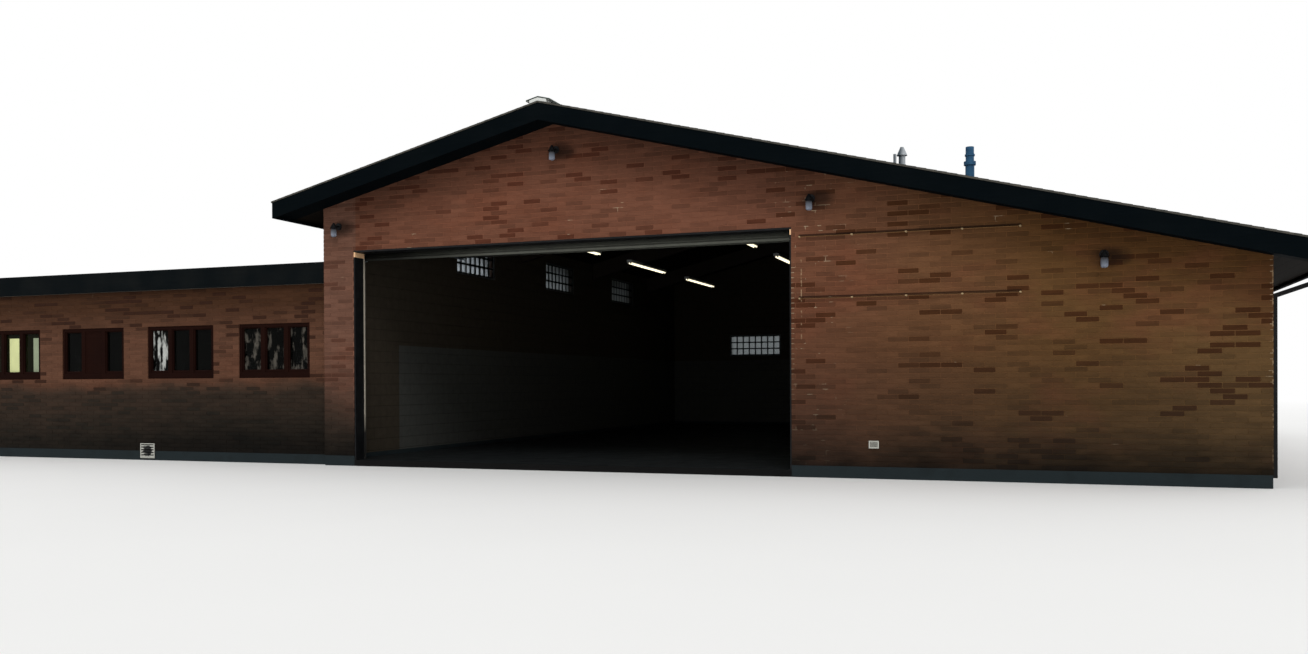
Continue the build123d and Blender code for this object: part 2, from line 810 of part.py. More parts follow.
def make_grille(left, bottom, width, height, face_y):
    """A bordered grille of slanted slats on a wall's face."""
    x, z = (left, left + width), (bottom, bottom + height)
    grille = block(x, (face_y - grille_depth, face_y), z)
    inner_x = (x[0] + grille_border, x[1] - grille_border)
    inner_z = (z[0] + grille_border, z[1] - grille_border)
    grille -= block(inner_x, (face_y - grille_depth, face_y), inner_z)
    pitch = (inner_z[1] - inner_z[0]) / grille_slats
    thick, rise = pitch * slat_thickness_share, pitch * slat_rise_share
    for i in range(grille_slats):
        low = inner_z[0] + i * pitch + (pitch - thick - rise) / 2
        front = [(face_y - grille_depth, low + thick), (face_y - grille_depth, low)]
        grille += prism_along_x(front + [(face_y, low + rise), (face_y, low + rise + thick)], inner_x)
    return grille


export(
    "wall_grilles",
    make_grille(doorway_right + louvre_from_doorway, louvre_bottom, louvre_width, louvre_height, 0),
    make_grille(crawl_vent_left, crawl_vent_bottom, crawl_vent_width, crawl_vent_height, wing_front),
)


# Pipes through the roof, cut off on its slope
capped_pipe_x = bay_width - capped_pipe_from_right
thin_pipe_x = bay_width - thin_pipe_from_right
flue_x = bay_width - flue_from_right


def stand_on_roof(x, y, radius, top):
    """A pipe from the roof's surface up to its top."""
    start = soffit_at(x + radius)
    under = roof_layer(span(x, 4 * radius), span(y, 4 * radius), -roof_thickness, roof_thickness)
    return drum(radius, (x, y, start), (x, y, top)) - under


def make_capped_pipe():
    """A pipe under a conical cap."""
    cap_base = capped_pipe_top - pipe_cap_height / 2
    cap = Pos(capped_pipe_x, pipe_from_front, cap_base + pipe_cap_height / 2) * Cone(
        pipe_cap_radius, capped_pipe_radius / 2, pipe_cap_height
    )
    return stand_on_roof(capped_pipe_x, pipe_from_front, capped_pipe_radius, capped_pipe_top) + cap


def make_flue():
    """A metal flue: its pipe, the storm collar under its joint, and the slimmer head with its band."""
    joint = flue_top - flue_head_height
    flue = stand_on_roof(flue_x, flue_from_front, flue_radius, joint)
    for low, radius, height in (
        (joint - flue_collar_height, flue_collar_radius, flue_collar_height),
        (joint, flue_head_radius, flue_head_height),
        (joint + flue_band_rise, flue_band_radius, flue_band_height),
    ):
        flue += drum(radius, (flue_x, flue_from_front, low), (flue_x, flue_from_front, low + height))
    return flue


export(
    "vent_pipes",
    make_capped_pipe(),
    stand_on_roof(thin_pipe_x, pipe_from_front, thin_pipe_radius, thin_pipe_top),
)
export("flue", make_flue())

# Gutter and downspout
gutter_top = soffit_at(eave_right) + roof_thickness - gutter_below_top
gutter_x = (eave_right, eave_right + gutter_size)


def make_gutter():
    """An open channel along the whole right eave."""
    y, z = (rake_front, rake_rear), (gutter_top - gutter_size, gutter_top)
    hollow = block(
        (gutter_x[0] + gutter_wall, gutter_x[1] - gutter_wall),
        (y[0] + gutter_wall, y[1] - gutter_wall),
        (z[0] + gutter_wall, z[1]),
    )
    return block(gutter_x, y, z) - hollow


def make_downspout():
    """A pipe from the gutter, back under the soffit and down the right wall, with its straps."""
    top_x = (gutter_x[0] + gutter_x[1]) / 2
    wall_x = bay_width + spout_from_wall + spout_width / 2
    turn_z = soffit_at(eave_right) - fascia_drop - spout_depth
    wall_z = turn_z - (top_x - wall_x) * spout_offset_slope
    route = Polyline(
        (top_x, spout_from_front, gutter_top - gutter_size),
        (top_x, spout_from_front, turn_z),
        (wall_x, spout_from_front, wall_z),
        (wall_x, spout_from_front, spout_foot),
    )
    profile = Plane(origin=route @ 0, z_dir=(0, 0, -1)) * Rectangle(spout_width, spout_depth)
    spout = sweep(profile, path=route, transition=Transition.RIGHT)
    strap_x, strap_y = (bay_width, bay_width + spout_from_wall), span(spout_from_front, 2 * spout_depth)
    for z in (spout_foot + strap_from_end, (spout_foot + wall_z) / 2, wall_z - strap_from_end):
        spout += block(strap_x, strap_y, span(z, strap_height))
    return spout


export("right_gutter", make_gutter())
export("right_downspout", make_downspout())
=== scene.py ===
"""Finish and small pieces of a brick fire station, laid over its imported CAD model. Metres, +Z up."""

import math

import bmesh
import bpy
from mathutils import Matrix, Vector


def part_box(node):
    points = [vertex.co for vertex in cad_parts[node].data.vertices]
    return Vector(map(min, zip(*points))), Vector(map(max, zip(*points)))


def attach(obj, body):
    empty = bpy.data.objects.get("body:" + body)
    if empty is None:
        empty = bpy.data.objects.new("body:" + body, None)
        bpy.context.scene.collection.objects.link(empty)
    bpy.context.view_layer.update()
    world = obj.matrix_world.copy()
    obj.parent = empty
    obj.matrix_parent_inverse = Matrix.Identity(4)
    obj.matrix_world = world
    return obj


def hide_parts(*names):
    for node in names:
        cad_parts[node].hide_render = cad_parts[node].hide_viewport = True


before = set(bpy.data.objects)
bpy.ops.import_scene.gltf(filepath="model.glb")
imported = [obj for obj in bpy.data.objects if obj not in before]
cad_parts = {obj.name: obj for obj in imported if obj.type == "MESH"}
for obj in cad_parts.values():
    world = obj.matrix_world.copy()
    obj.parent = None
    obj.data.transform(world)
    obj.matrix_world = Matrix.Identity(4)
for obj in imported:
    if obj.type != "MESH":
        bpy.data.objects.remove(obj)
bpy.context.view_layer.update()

# Long bricks in half bond, with their courses counted from the bay floor
brick_length = 0.3048
course_height = 0.0762
brick_joint = 0.010
brick_proud = 0.005
brick_bed = 0.004
brick_chamfer = 0.002
brick_unevenness = 0.004

# Roof of the bay: both slopes rise 3 in 12, under shingles and a ridge vent
roof_slope = 0.25
roof_thickness = 0.245
shingle_length = 0.305
shingle_exposure = 0.143
shingle_cover = 0.025
shingle_butt = 0.007
shingle_joint = 0.004
shingle_unevenness = 0.002
shingle_patches = 0.35
ridge_cap = 0.022

# What the rows of bricks and shingles share: the shortest piece kept, and a ridge that cuts nothing
shortest_piece = 0.02
no_ridge = 100.0

# Frames of the wing's windows, as they are packed
wing_lites = 3
wing_frame_side = 0.060
wing_frame_bottom = 0.110
wing_mullion = 0.090

# Their sashes, and how wide the pale patch in one of them is
sash_stile = 0.020
sash_bottom = 0.045
sash_bevel = 0.006
sash_depth = (0.012, 0.05)
sash_shoulder = 0.7
pale_patch_width = 0.50

# Windows of the wing's front that differ, counted from the one next to the bay, which is 0
pale_patch_in, blank_in, daylight_in = 1, 2, 3

# The two strips of painted daylight in one window: middle and half width, from the window's right side
daylight_strips = ((0.775, 0.13), (0.169, 0.094))

# The blank panel in one lite: its border's width and depth, and how its board lies in the border
blank_border = 0.03
blank_depth = (0.008, 0.03)
blank_overlap = 0.02
blank_face = (0.016, 0.034)

# Eased edges of the blank panel's board and of the tube holders
small_bevel = 0.003

# Glass blocks of the high windows. Each ring of a block is a share of its half width and half depth
block_columns = 8
block_rows = 3
block_joint = 0.036
block_joint_recess = 0.1
block_rings = ((0.55, 0.80), (0.88, 0.86), (1.0, 0.62), (1.0, -0.62), (0.88, -0.86), (0.55, -0.80))

# Painted block walls and floor of the bay
block_course = 0.2032
block_pitch = 0.4064
dado_top = 2.17
dado_from_front = 1.9
slab_bay = 3.66

# Lantern jars. Each ring of a jar is a share of its radius at a share of its height
jar_flutes = 16
flute_depth = 0.05
jar_rings = ((0.35, 0.0), (0.75, 0.04), (0.95, 0.14), (1.0, 0.3), (1.0, 0.85), (0.9, 0.95), (0.8, 1.0))

# The soot on the wall by each lantern, along it and up it: where it starts and how far it reaches
soot_start = (0.05, 0.02)
soot_reach = (0.26, 0.15)

# The blot of painted shade in the middle of the wing's grille
shade_blot = 0.11

# The painted shadow over each banner wire: its middle and its half width
shadow_line = (0.026, 0.011)

# Lit tubes in the hanging lights, their holders, and the height of the body over them
tube_radius = 0.014
tube_sides = 10
tube_holder = 0.022
tube_gap = 0.004
light_body_height = 0.0555

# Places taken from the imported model
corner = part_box("door_pier")[0]
front_y = corner.y
left_x = corner.x
right_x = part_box("front_wall_right")[1].x
rear_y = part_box("bay_rear_wall")[1].y
floor_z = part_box("bay_floor")[1].z
wall_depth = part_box("door_pier")[1].y - front_y
doorway_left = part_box("wall_over_door")[0].x
doorway_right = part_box("wall_over_door")[1].x
doorway_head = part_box("wall_over_door")[0].z
boards_low, boards_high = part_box("gable_fascias")
ridge_x = sum(end.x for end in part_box("ridge_vent")) / 2
soffit_peak = boards_high.z - roof_thickness
wing_low, wing_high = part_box("wing_front_wall")
wing_rear_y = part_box("wing_rear_wall")[1].y
wing_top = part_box("wing_roof")[1].z
cap_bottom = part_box("ridge_vent")[1].z - boards_high.z - ridge_cap
wire_low, wire_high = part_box("banner_wires")
clip_plate = 0.015
first_clip = wire_low.x + clip_plate
clip_pitch = (wire_high.x - wire_low.x - 2 * clip_plate) / 4


def solids_of(node):
    """Lowest and highest corner of each separate solid in a CAD node, from left to right."""
    shape = bmesh.new()
    shape.from_mesh(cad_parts[node].data)
    bmesh.ops.remove_doubles(shape, verts=shape.verts, dist=1e-5)
    left, boxes = set(shape.verts), []
    while left:
        growing, solid = [left.pop()], []
        while growing:
            vertex = growing.pop()
            solid.append(vertex.co.copy())
            for edge in vertex.link_edges:
                other = edge.other_vert(vertex)
                if other in left:
                    left.remove(other)
                    growing.append(other)
        low = Vector(min(point[axis] for point in solid) for axis in range(3))
        high = Vector(max(point[axis] for point in solid) for axis in range(3))
        boxes.append((low, high))
    shape.free()
    return sorted(boxes, key=lambda box: (round(box[0].x, 3), round(box[0].y, 3)))


high_windows = solids_of("high_window_frames")
wing_windows = solids_of("wing_window_frames")
rear_high = [box for box in high_windows if box[0].y > rear_y - wall_depth]
side_high = [box for box in high_windows if box not in rear_high]
left_high = [box for box in side_high if box[1].x < ridge_x]
right_high = [box for box in side_high if box[0].x > ridge_x]
long_wing_windows = [box for box in wing_windows if box[0].x > wing_low.x + wall_depth]
front_wing_windows = [box for box in long_wing_windows if box[1].y < wing_low.y + wall_depth]
rear_wing_windows = [box for box in long_wing_windows if box[0].y > wing_rear_y - wall_depth]
end_wing_windows = [box for box in wing_windows if box[0].x < wing_low.x + wall_depth]
windows_from_bay = sorted(front_wing_windows, key=lambda box: -box[0].x)


class Value:
    """A node's output, with the arithmetic that adds Math nodes behind it."""

    def __init__(self, tree, socket):
        self.tree = tree
        self.socket = socket

    def math(self, operation, *values):
        return self.tree.node("ShaderNodeMath", {"operation": operation}, dict(enumerate(values)))

    def __add__(self, other):
        return self.math("ADD", self, other)

    def __sub__(self, other):
        return self.math("SUBTRACT", self, other)

    def __rsub__(self, other):
        return self.math("SUBTRACT", other, self)

    def __mul__(self, other):
        return self.math("MULTIPLY", self, other)

    def __truediv__(self, other):
        return self.math("DIVIDE", self, other)

    def __gt__(self, other):
        return self.math("GREATER_THAN", self, other)

    def __lt__(self, other):
        return self.math("LESS_THAN", self, other)

    __radd__ = __add__
    __rmul__ = __mul__

    def floor(self):
        return self.math("FLOOR", self)

    def ceil(self):
        return self.math("CEIL", self)

    def absolute(self):
        return self.math("ABSOLUTE", self)

    def wrap(self, other):
        return self.math("FLOORED_MODULO", self, other)

    def least(self, other):
        return self.math("MINIMUM", self, other)

    def most(self, other):
        return self.math("MAXIMUM", self, other)

    def within(self, low, high):
        """1 between two values and 0 outside them."""
        return (self > low) * (self < high)

    def near(self, middle, reach):
        """1 up to this far from a value and 0 beyond."""
        return (self - middle).absolute() < reach


class Tree:
    """A node tree, and the one way in which nodes are added to it."""

    def __init__(self, nodes):
        self.nodes = nodes

    def node(self, kind, settings=None, sockets=None, output=0):
        made = self.nodes.nodes.new(kind)
        for name, value in (settings or {}).items():
            if name == "stops":
                ramp = made.color_ramp.elements
                while len(ramp) < len(value):
                    ramp.new(1)
                for stop, (place, colour) in zip(ramp, value):
                    stop.position, stop.color = place, colour
            else:
                setattr(made, name, value)
        for name, value in (sockets or {}).items():
            if isinstance(value, Value):
                self.nodes.links.new(value.socket, made.inputs[name])
            else:
                made.inputs[name].default_value = value
        return Value(self, made.outputs[output])

    def combine(self, x, y, z):
        return self.node("ShaderNodeCombineXYZ", sockets={0: x, 1: y, 2: z})


def paint(red, green, blue):
    """A colour as it shows on a screen, from 0 to 255, made linear."""
    def linear(value):
        share = value / 255
        return share / 12.92 if share <= 0.04045 else ((share + 0.055) / 1.055) ** 2.4

    return linear(red), linear(green), linear(blue), 1


class Finish(Tree):
    """A material on one Principled shader, with the patterns that its colour and relief are made of."""

    def __init__(self, name, **fixed):
        self.material = bpy.data.materials.new(name)
        self.material.use_nodes = True
        super().__init__(self.material.node_tree)
        self.shader = self.nodes.nodes["Principled BSDF"]
        for label, value in fixed.items():
            self.shader.inputs[label.replace("_", " ").title().replace("Ior", "IOR")].default_value = value
        self.place = self.node("ShaderNodeTexCoord", output="Object")
        split = self.node("ShaderNodeSeparateXYZ", sockets={0: self.place}).socket.node
        self.x, self.y, self.z = (Value(self, socket) for socket in split.outputs)

    def stretched(self, x, y, z):
        return self.node("ShaderNodeMapping", sockets={"Vector": self.place, "Scale": (x, y, z)})

    def noise(self, scale, detail=4, place=None, rough=0.55):
        sockets = {"Vector": place or self.place, "Scale": scale, "Detail": detail, "Roughness": rough}
        return self.node("ShaderNodeTexNoise", sockets=sockets)

    def cells(self, scale, place=None):
        return self.node("ShaderNodeTexVoronoi", sockets={"Vector": place or self.place, "Scale": scale})

    def steps(self, value, low, high):
        sockets = {"Value": value, "From Min": low, "From Max": high}
        return self.node("ShaderNodeMapRange", {"clamp": True}, sockets)

    def ramp(self, value, *stops):
        return self.node("ShaderNodeValToRGB", {"stops": stops}, {0: value})

    def mix(self, share, first, second, blend="MIX"):
        settings = {"data_type": "RGBA", "blend_type": blend}
        return self.node("ShaderNodeMix", settings, {0: share, 6: first, 7: second}, output=2)

    def attribute(self, name):
        return self.node("ShaderNodeAttribute", {"attribute_name": name}, output="Fac")

    def shade(self, colour, amount):
        """The colour darkened or lightened by a number around 1."""
        return self.mix(1, colour, self.combine(amount, amount, amount), "MULTIPLY")

    def mottled(self, scale, detail, dark, pale):
        """Two plain colours in soft patches."""
        return self.mix(self.noise(scale, detail), paint(*dark), paint(*pale))

    def feed(self, socket, value):
        self.nodes.links.new(value.socket, self.shader.inputs[socket])

    def relief(self, height, depth):
        sockets = {"Height": height, "Distance": depth, "Strength": 1}
        self.feed("Normal", self.node("ShaderNodeBump", sockets=sockets))

    def coated(self, colour, height, depth):
        """The material, under its colour and relief."""
        self.feed("Base Color", colour)
        self.relief(height, depth)
        return self.material


def on_pier(finish):
    """1 on the narrow pier to the left of the doorway."""
    return finish.x.within(left_x - 0.02, doorway_left + 0.05) * (finish.y < front_y + wall_depth)


def on_wing(finish):
    return finish.x < left_x - 0.002


def behind_front(finish):
    """0 on the street front, rising to 1 along the walls behind it."""
    return finish.steps(finish.y, front_y + 0.4, front_y + 5)


def painted_light_share(finish):
    """Share of light left by painted shade, which climbs highest up the bay and is darkest on the wing."""
    height = finish.z + (finish.noise(1.1, 6) - 0.5) * 0.5
    # Painted shade: darkest at the foot of each wall, and on the wing also below its sills
    bay = finish.steps(height, 0, 2.9) * 0.70 + finish.steps(height, 0.05, 0.80) * 0.27 + 0.03
    bay = bay * (1 - soffit_shade(finish))
    pier = finish.steps(height, 0.32, 1.90) * 0.93 + 0.07
    wing = finish.steps(height, 0.35, 1.1) * 0.22 + finish.steps(height, 1.28, 1.60) * 0.66 + 0.06
    # Less painted shade on the far part of the wing, where the bushes cast none
    less_shade = finish.steps(finish.x, left_x - 3, left_x - 6) * finish.steps(height, -0.2, 0.5)
    wing = (wing + less_shade * 0.09).least(0.95)
    light = bay + on_pier(finish) * (pier - bay)
    return light + on_wing(finish) * (wing - light)


def below_soffit(finish):
    """Distance down from the soffit line of the gable."""
    return soffit_peak - finish.z - (finish.x - ridge_x).absolute() * roof_slope


def soffit_shade(finish):
    """Painted shade on the gable under the soffit, over and to the left of the doorway."""
    drop = below_soffit(finish)
    shaded = finish.steps(drop + (finish.noise(1.5, 5) - 0.5) * 0.4, 0.9, 0.05)
    return shaded * finish.steps(finish.x, doorway_right + 1.2, doorway_right - 0.4) * 0.30


def brick_ground(finish):
    """The plain colour of the walls: red over the doorway, ochre to its right, and on the wing a darker brown
    that is partly painted shade.
    """
    wander = (finish.noise(0.35, 3) - 0.5) * 3
    to_right = finish.steps(finish.x + wander, doorway_right - 0.5, doorway_right + 4)
    to_right = to_right * (1 - behind_front(finish) * 0.55)
    plain = finish.mix(to_right, paint(103, 66, 50), paint(93, 66, 38))
    by_corner = finish.steps(finish.x, right_x - 2, right_x - 0.5)
    by_corner = by_corner * finish.steps(finish.y, front_y + 6, front_y + 0.5)
    plain = finish.mix(by_corner, plain, paint(102, 76, 46))
    drop = below_soffit(finish)
    # Painted shade under the gable's soffit, to the right of the doorway
    soffit_shade_right = finish.steps(finish.x, doorway_right + 1.5, doorway_right + 4) * finish.steps(drop, 1.3, 0.2)
    plain = finish.mix(soffit_shade_right * 0.85, plain, paint(80, 52, 26))
    plain = finish.mix(on_pier(finish), plain, paint(99, 69, 56))
    # The wing's darker brown is partly painted shade
    plain = finish.mix(on_wing(finish), plain, paint(89, 60, 45))
    reddish = finish.steps(finish.noise(0.8, 4, finish.stretched(1, 1, 2)), 0.5, 0.68)
    red = finish.mix(on_wing(finish), paint(104, 60, 42), paint(84, 52, 38))
    plain = finish.mix(reddish * 0.4, plain, red)
    # Painted shade on the wing under its fascia
    fascia_shade = finish.steps(finish.z + finish.noise(1.4, 5) * 0.3, wing_high.z - 0.75, wing_high.z - 0.15)
    return finish.mix(on_wing(finish) * fascia_shade * 0.9, plain, paint(57, 35, 20))


def weathered(finish, colour):
    """A wall's colour greyed and darkened by painted shade, with smoke stains by the lanterns, painted
    shadows over the wires and pale edges.
    """
    light = painted_light_share(finish)
    deep_shade = finish.steps(light, 0.75, 0.12)
    # Deep painted shade also greys the colour
    greyed = finish.mix(deep_shade * (0.70 - (finish.x > doorway_right) * 0.30), colour, paint(80, 77, 66))
    light = light * (1 + deep_shade * (finish.noise(2.4, 5, finish.stretched(1, 1, 4)) - 0.5) * 1.6)
    sooted_and_shadowed = finish.mix(lantern_soot(finish) * 0.7, finish.shade(greyed, light), paint(24, 18, 14))
    sooted_and_shadowed = finish.mix(wire_shadow(finish) * 0.75, sooted_and_shadowed, paint(26, 15, 9))
    return finish.mix(pale_edges(finish) * 0.65, sooted_and_shadowed, finish.shade(paint(186, 160, 126), light))


def make_brick():
    finish = Finish("orange-brown brick", roughness=0.9, specular_ior_level=0.1)
    tone, plain = finish.attribute("tone"), brick_ground(finish)
    on_left = finish.steps(finish.x, doorway_right + 1, doorway_right - 1)
    burnt = finish.mix(on_left, paint(66, 37, 17), paint(76, 38, 24))
    burnt = finish.mix(on_wing(finish), burnt, paint(46, 25, 16))
    strength = 0.88 - on_left * 0.15 - on_pier(finish) * 0.38 - behind_front(finish) * 0.30
    colour = finish.mix(finish.steps(tone, 0.38, 0.20) * 0.34, plain, finish.shade(plain, 0.45))
    colour = finish.mix(finish.steps(tone, 0.17, 0.07) * strength, colour, burnt)
    colour = finish.mix(finish.steps(tone, 0.55, 1.0) * 0.40, colour, finish.shade(plain, 1.45))
    mottle = finish.noise(22, 6) * 0.3 + finish.noise(3.1, 3, finish.stretched(1, 1, 6)) * 0.7
    colour = finish.shade(colour, mottle * 0.9 + 0.55)
    colour = finish.mix(finish.steps(finish.noise(140, 3), 0.62, 0.75) * 0.4, colour, paint(58, 40, 31))
    grain = finish.noise(90, 5) * 0.7 + finish.noise(16, 3, finish.stretched(0.3, 0.3, 6)) * 0.3
    return finish.coated(weathered(finish, colour), grain, 0.003)


def lantern_soot(finish):
    """A ragged dark patch on the wall, up and to the right of each lantern."""
    spread = None
    for low, high in solids_of("lantern_glass"):
        along = (finish.x - high.x - soot_start[0]) / soot_reach[0]
        up = (finish.z - high.z - soot_start[1]) / soot_reach[1]
        patch = along * along + up * up
        spread = spread.least(patch) if spread else patch
    ragged = (finish.noise(6, 5) - 0.5) * 1.2
    return finish.steps(spread + ragged, 1.2, 0.1) * (finish.y < front_y + 0.05)


def wire_shadow(finish):
    """A painted shadow: a dark line on the front wall just over each banner wire."""
    over_lower = finish.z - wire_low.z - clip_plate
    over_upper = finish.z - wire_high.z + clip_plate
    line = over_lower.near(*shadow_line).most(over_upper.near(*shadow_line))
    return line * finish.x.within(wire_low.x, wire_high.x) * (finish.y < front_y + 0.05)


def pale_edges(finish):
    """Pale spots down the right arris and in a short broken line beside the doorway."""
    spots = finish.steps(finish.noise(12, 2), 0.50, 0.58)
    arris = (finish.x > right_x - 0.012) * 0.7
    beside = finish.x.near(doorway_right + 0.155, 0.008) * finish.z.near(wire_low.z, 0.6) * 0.7
    return spots * arris.most(beside) * (finish.y < front_y + 0.02)


def pale_mortar(finish):
    """Cleaner, pale mortar in the joints at the right arris and beside the doorway."""
    beside = finish.x.near(doorway_right, 0.045) * (finish.z < wire_low.z + 0.6)
    ends = beside.most(finish.x > right_x - 0.035) * finish.steps(finish.z, 0.9, 1.6)
    return ends * finish.steps(finish.noise(7, 4), 0.40, 0.55) * (finish.y < front_y + 0.02)


def make_wall_core(name, inner_low, inner_high):
    """Mortar on the outside of a wall, where the bricks lie on it, and painted block inside the room."""
    finish = Finish(name, roughness=0.93, specular_ior_level=0.1)
    # The mortar is lighter than the brick, partly as painted light that cancels the shade in its recessed
    # joints
    mortar = finish.shade(brick_ground(finish), finish.noise(3.1, 3, finish.stretched(1, 1, 5)) * 1.2 + 0.95)
    by_doorway = finish.steps((finish.x - doorway_right - 0.3).absolute(), 0.7, 0.1)
    flecks = finish.steps(finish.noise(6, 4), 0.60, 0.64) * by_doorway
    flecks = flecks.most(finish.steps(finish.noise(2.2, 6), 0.68, 0.72))
    mortar = finish.mix(flecks.most(pale_mortar(finish)) * 0.7, mortar, paint(200, 180, 150))
    mortar = weathered(finish, mortar)
    inside = finish.x.within(inner_low[0], inner_high[0]) * finish.y.within(inner_low[1], inner_high[1])
    row = finish.z / block_course
    odd = row.floor().wrap(2) * 0.5
    across = (finish.x + finish.y) / block_pitch + odd
    joints = (row.wrap(1) < 0.045).most(across.wrap(1) < 0.022)
    block = finish.mottled(7, 5, (52, 46, 38), (68, 61, 51))
    dado = (finish.z < dado_top) * (finish.y > front_y + dado_from_front)
    block = finish.mix(dado, block, finish.mottled(7, 5, (62, 63, 60), (78, 78, 74)))
    block = finish.mix(joints * 0.4, block, paint(36, 33, 28))
    colour = finish.mix(inside, mortar, block)
    return finish.coated(colour, finish.noise(300, 3) * 0.35 - joints * inside, 0.003)


def make_concrete(name, pale, dark, stain):
    finish = Finish(name, roughness=0.88, specular_ior_level=0.15)
    colour = finish.mottled(1.3, 6, dark, pale)
    colour = finish.shade(colour, finish.noise(60, 4) * 0.3 + 0.85)
    colour = finish.mix(finish.steps(finish.noise(2.6, 5), 0.52, 0.75) * 0.6, colour, paint(*stain))
    return finish.coated(colour, finish.noise(120, 5) * 0.6 + (finish.cells(40) < 0.12) * -0.4, 0.003)


def make_bay_slab():
    """Trowelled floor with sawn joints and dark wheel marks."""
    finish = Finish("trowelled bay floor", specular_ior_level=0.1)
    across = ((finish.x - left_x) / slab_bay).wrap(1)
    along = ((finish.y - front_y) / slab_bay).wrap(1)
    joints = (across < 0.003).most(along < 0.003)
    # The floor's near-black tone is painted shade of the unlit bay
    colour = finish.mottled(0.8, 6, (17, 20, 21), (30, 33, 34))
    marks = finish.steps(finish.noise(1.7, 5, finish.stretched(2.2, 0.35, 1)), 0.52, 0.72)
    colour = finish.mix(marks * 0.7, colour, paint(9, 10, 11))
    finish.feed("Roughness", finish.noise(3, 4) * 0.35 + 0.45)
    colour = finish.mix(joints, colour, paint(8, 8, 8))
    return finish.coated(colour, finish.noise(90, 4) * 0.2 - joints, 0.003)


def make_board_paint(name, base, worn, gloss, grain_scale=(1, 1, 22)):
    """Old paint on boards, with faint grain and chalky patches."""
    finish = Finish(name, specular_ior_level=0.01)
    grain = finish.noise(2.2, 6, finish.stretched(*grain_scale))
    chalk = finish.steps(finish.noise(1.6, 6), 0.45, 0.8)
    colour = finish.mix(chalk * 0.55, paint(*base), paint(*worn))
    finish.feed("Roughness", chalk * 0.3 + gloss)
    return finish.coated(finish.shade(colour, grain * 0.5 + 0.75), grain, 0.002)


def make_shingle():
    finish = Finish("grey mineral shingles", roughness=0.95, specular_ior_level=0.1)
    tones = ((0, paint(58, 59, 60)), (0.5, paint(66, 66, 67)), (1, paint(75, 74, 72)))
    colour = finish.ramp(finish.attribute("tone"), *tones)
    granules = finish.cells(420)
    colour = finish.shade(colour, granules * 0.7 + 0.65)
    moss = finish.steps(finish.noise(0.7, 6), 0.58, 0.8) * finish.steps(finish.noise(14, 4), 0.45, 0.62)
    return finish.coated(finish.mix(moss * 0.5, colour, paint(60, 66, 44)), granules, 0.002)


def make_gravel_roof():
    """Flat roofing of small bedded stones, with ponding marks."""
    finish = Finish("gravelled flat roofing", roughness=0.96, specular_ior_level=0.1)
    stones = finish.cells(55)
    ponding = finish.steps(finish.noise(0.35, 5), 0.42, 0.62)
    colour = finish.mottled(45, 3, (84, 81, 76), (132, 127, 118))
    colour = finish.shade(finish.mix(ponding * 0.35, colour, paint(62, 60, 56)), 1.1 - stones * 0.5)
    return finish.coated(colour, stones * -1 + 1, 0.008)


def make_planks(name, pale, dark, width, across):
    """Boards side by side, each with its own tone and a groove between."""
    finish = Finish(name, roughness=0.7, specular_ior_level=0.04)
    row = getattr(finish, across) / width
    tone = finish.node("ShaderNodeTexWhiteNoise", {"noise_dimensions": "1D"}, {"W": row.floor()})
    groove = row.wrap(1) < 0.05
    grain_scale = {"x": (18, 1.2, 18), "y": (1.2, 18, 18)}[across]
    grain = finish.noise(2.4, 6, finish.stretched(*grain_scale))
    colour = finish.mix(tone * 0.5 + grain * 0.5, paint(*dark), paint(*pale))
    return finish.coated(finish.mix(groove, colour, paint(8, 8, 8)), grain * 0.25 - groove, 0.003)


def make_timber(name, pale, dark, grain_scale):
    finish = Finish(name, roughness=0.6, specular_ior_level=0.25)
    grain = finish.noise(3.2, 7, finish.stretched(*grain_scale))
    rings = finish.noise(1.1, 4, finish.stretched(*grain_scale))
    return finish.coated(finish.mix(grain * 0.6 + rings * 0.4, paint(*dark), paint(*pale)), grain, 0.002)


def make_metal(name, colour, dull, metallic, roughness, specular=0.3):
    """Painted or bare metal with dull patches and a fine grain."""
    finish = Finish(name, metallic=metallic, specular_ior_level=specular)
    patches = finish.noise(9, 5)
    finish.feed("Roughness", patches * 0.25 + (roughness - 0.12))
    colour = finish.mix(finish.steps(patches, 0.35, 0.7), paint(*colour), paint(*dull))
    return finish.coated(colour, finish.noise(150, 4), 0.0006)


def make_seal():
    """Pale weather seal, soiled black along its lowest part."""
    finish = Finish("pale weather seal", roughness=0.75, specular_ior_level=0.2)
    clean_and_lit = finish.steps(finish.z + finish.noise(5, 4) * 0.3, 0.75, 1.05)
    colour = finish.mottled(12, 4, (150, 142, 128), (196, 188, 172))
    return finish.coated(finish.mix(clean_and_lit, paint(34, 33, 31), colour), finish.noise(80, 3), 0.001)


def make_ridge_vent():
    """A moss-dark cap that follows both slopes, and the white body that shows under it."""
    finish = Finish("ridge vent metal", roughness=0.6, specular_ior_level=0.3)
    over_slope = finish.z - boards_high.z + (finish.x - ridge_x).absolute() * roof_slope
    cap = over_slope > cap_bottom
    moss = finish.mottled(6, 5, (40, 50, 44), (66, 76, 68))
    body = finish.mottled(9, 4, (196, 198, 194), (222, 224, 220))
    return finish.coated(finish.mix(cap, body, moss), finish.noise(50, 4), 0.002)


def make_wire():
    """Dark wire with a painted tan highlight along its underside, between brighter clips."""
    finish = Finish("rusted wire and clips", roughness=0.7, specular_ior_level=0.08)
    from_clip = ((finish.x - first_clip) / clip_pitch + 0.5).wrap(1) - 0.5
    clip = from_clip.absolute() < 0.02
    wire_rise = wire_high.z - wire_low.z - 2 * clip_plate
    over_wire = (finish.z - wire_low.z - clip_plate + wire_rise / 2).wrap(wire_rise) - wire_rise / 2
    rust_and_highlight = finish.mottled(40, 4, (20, 11, 6), (42, 25, 14))
    # Painted highlight along the wire's underside
    rust_and_highlight = finish.mix(over_wire < -0.003, rust_and_highlight, paint(140, 104, 66))
    return finish.coated(finish.mix(clip, rust_and_highlight, paint(168, 146, 112)), finish.noise(200, 3), 0.0005)


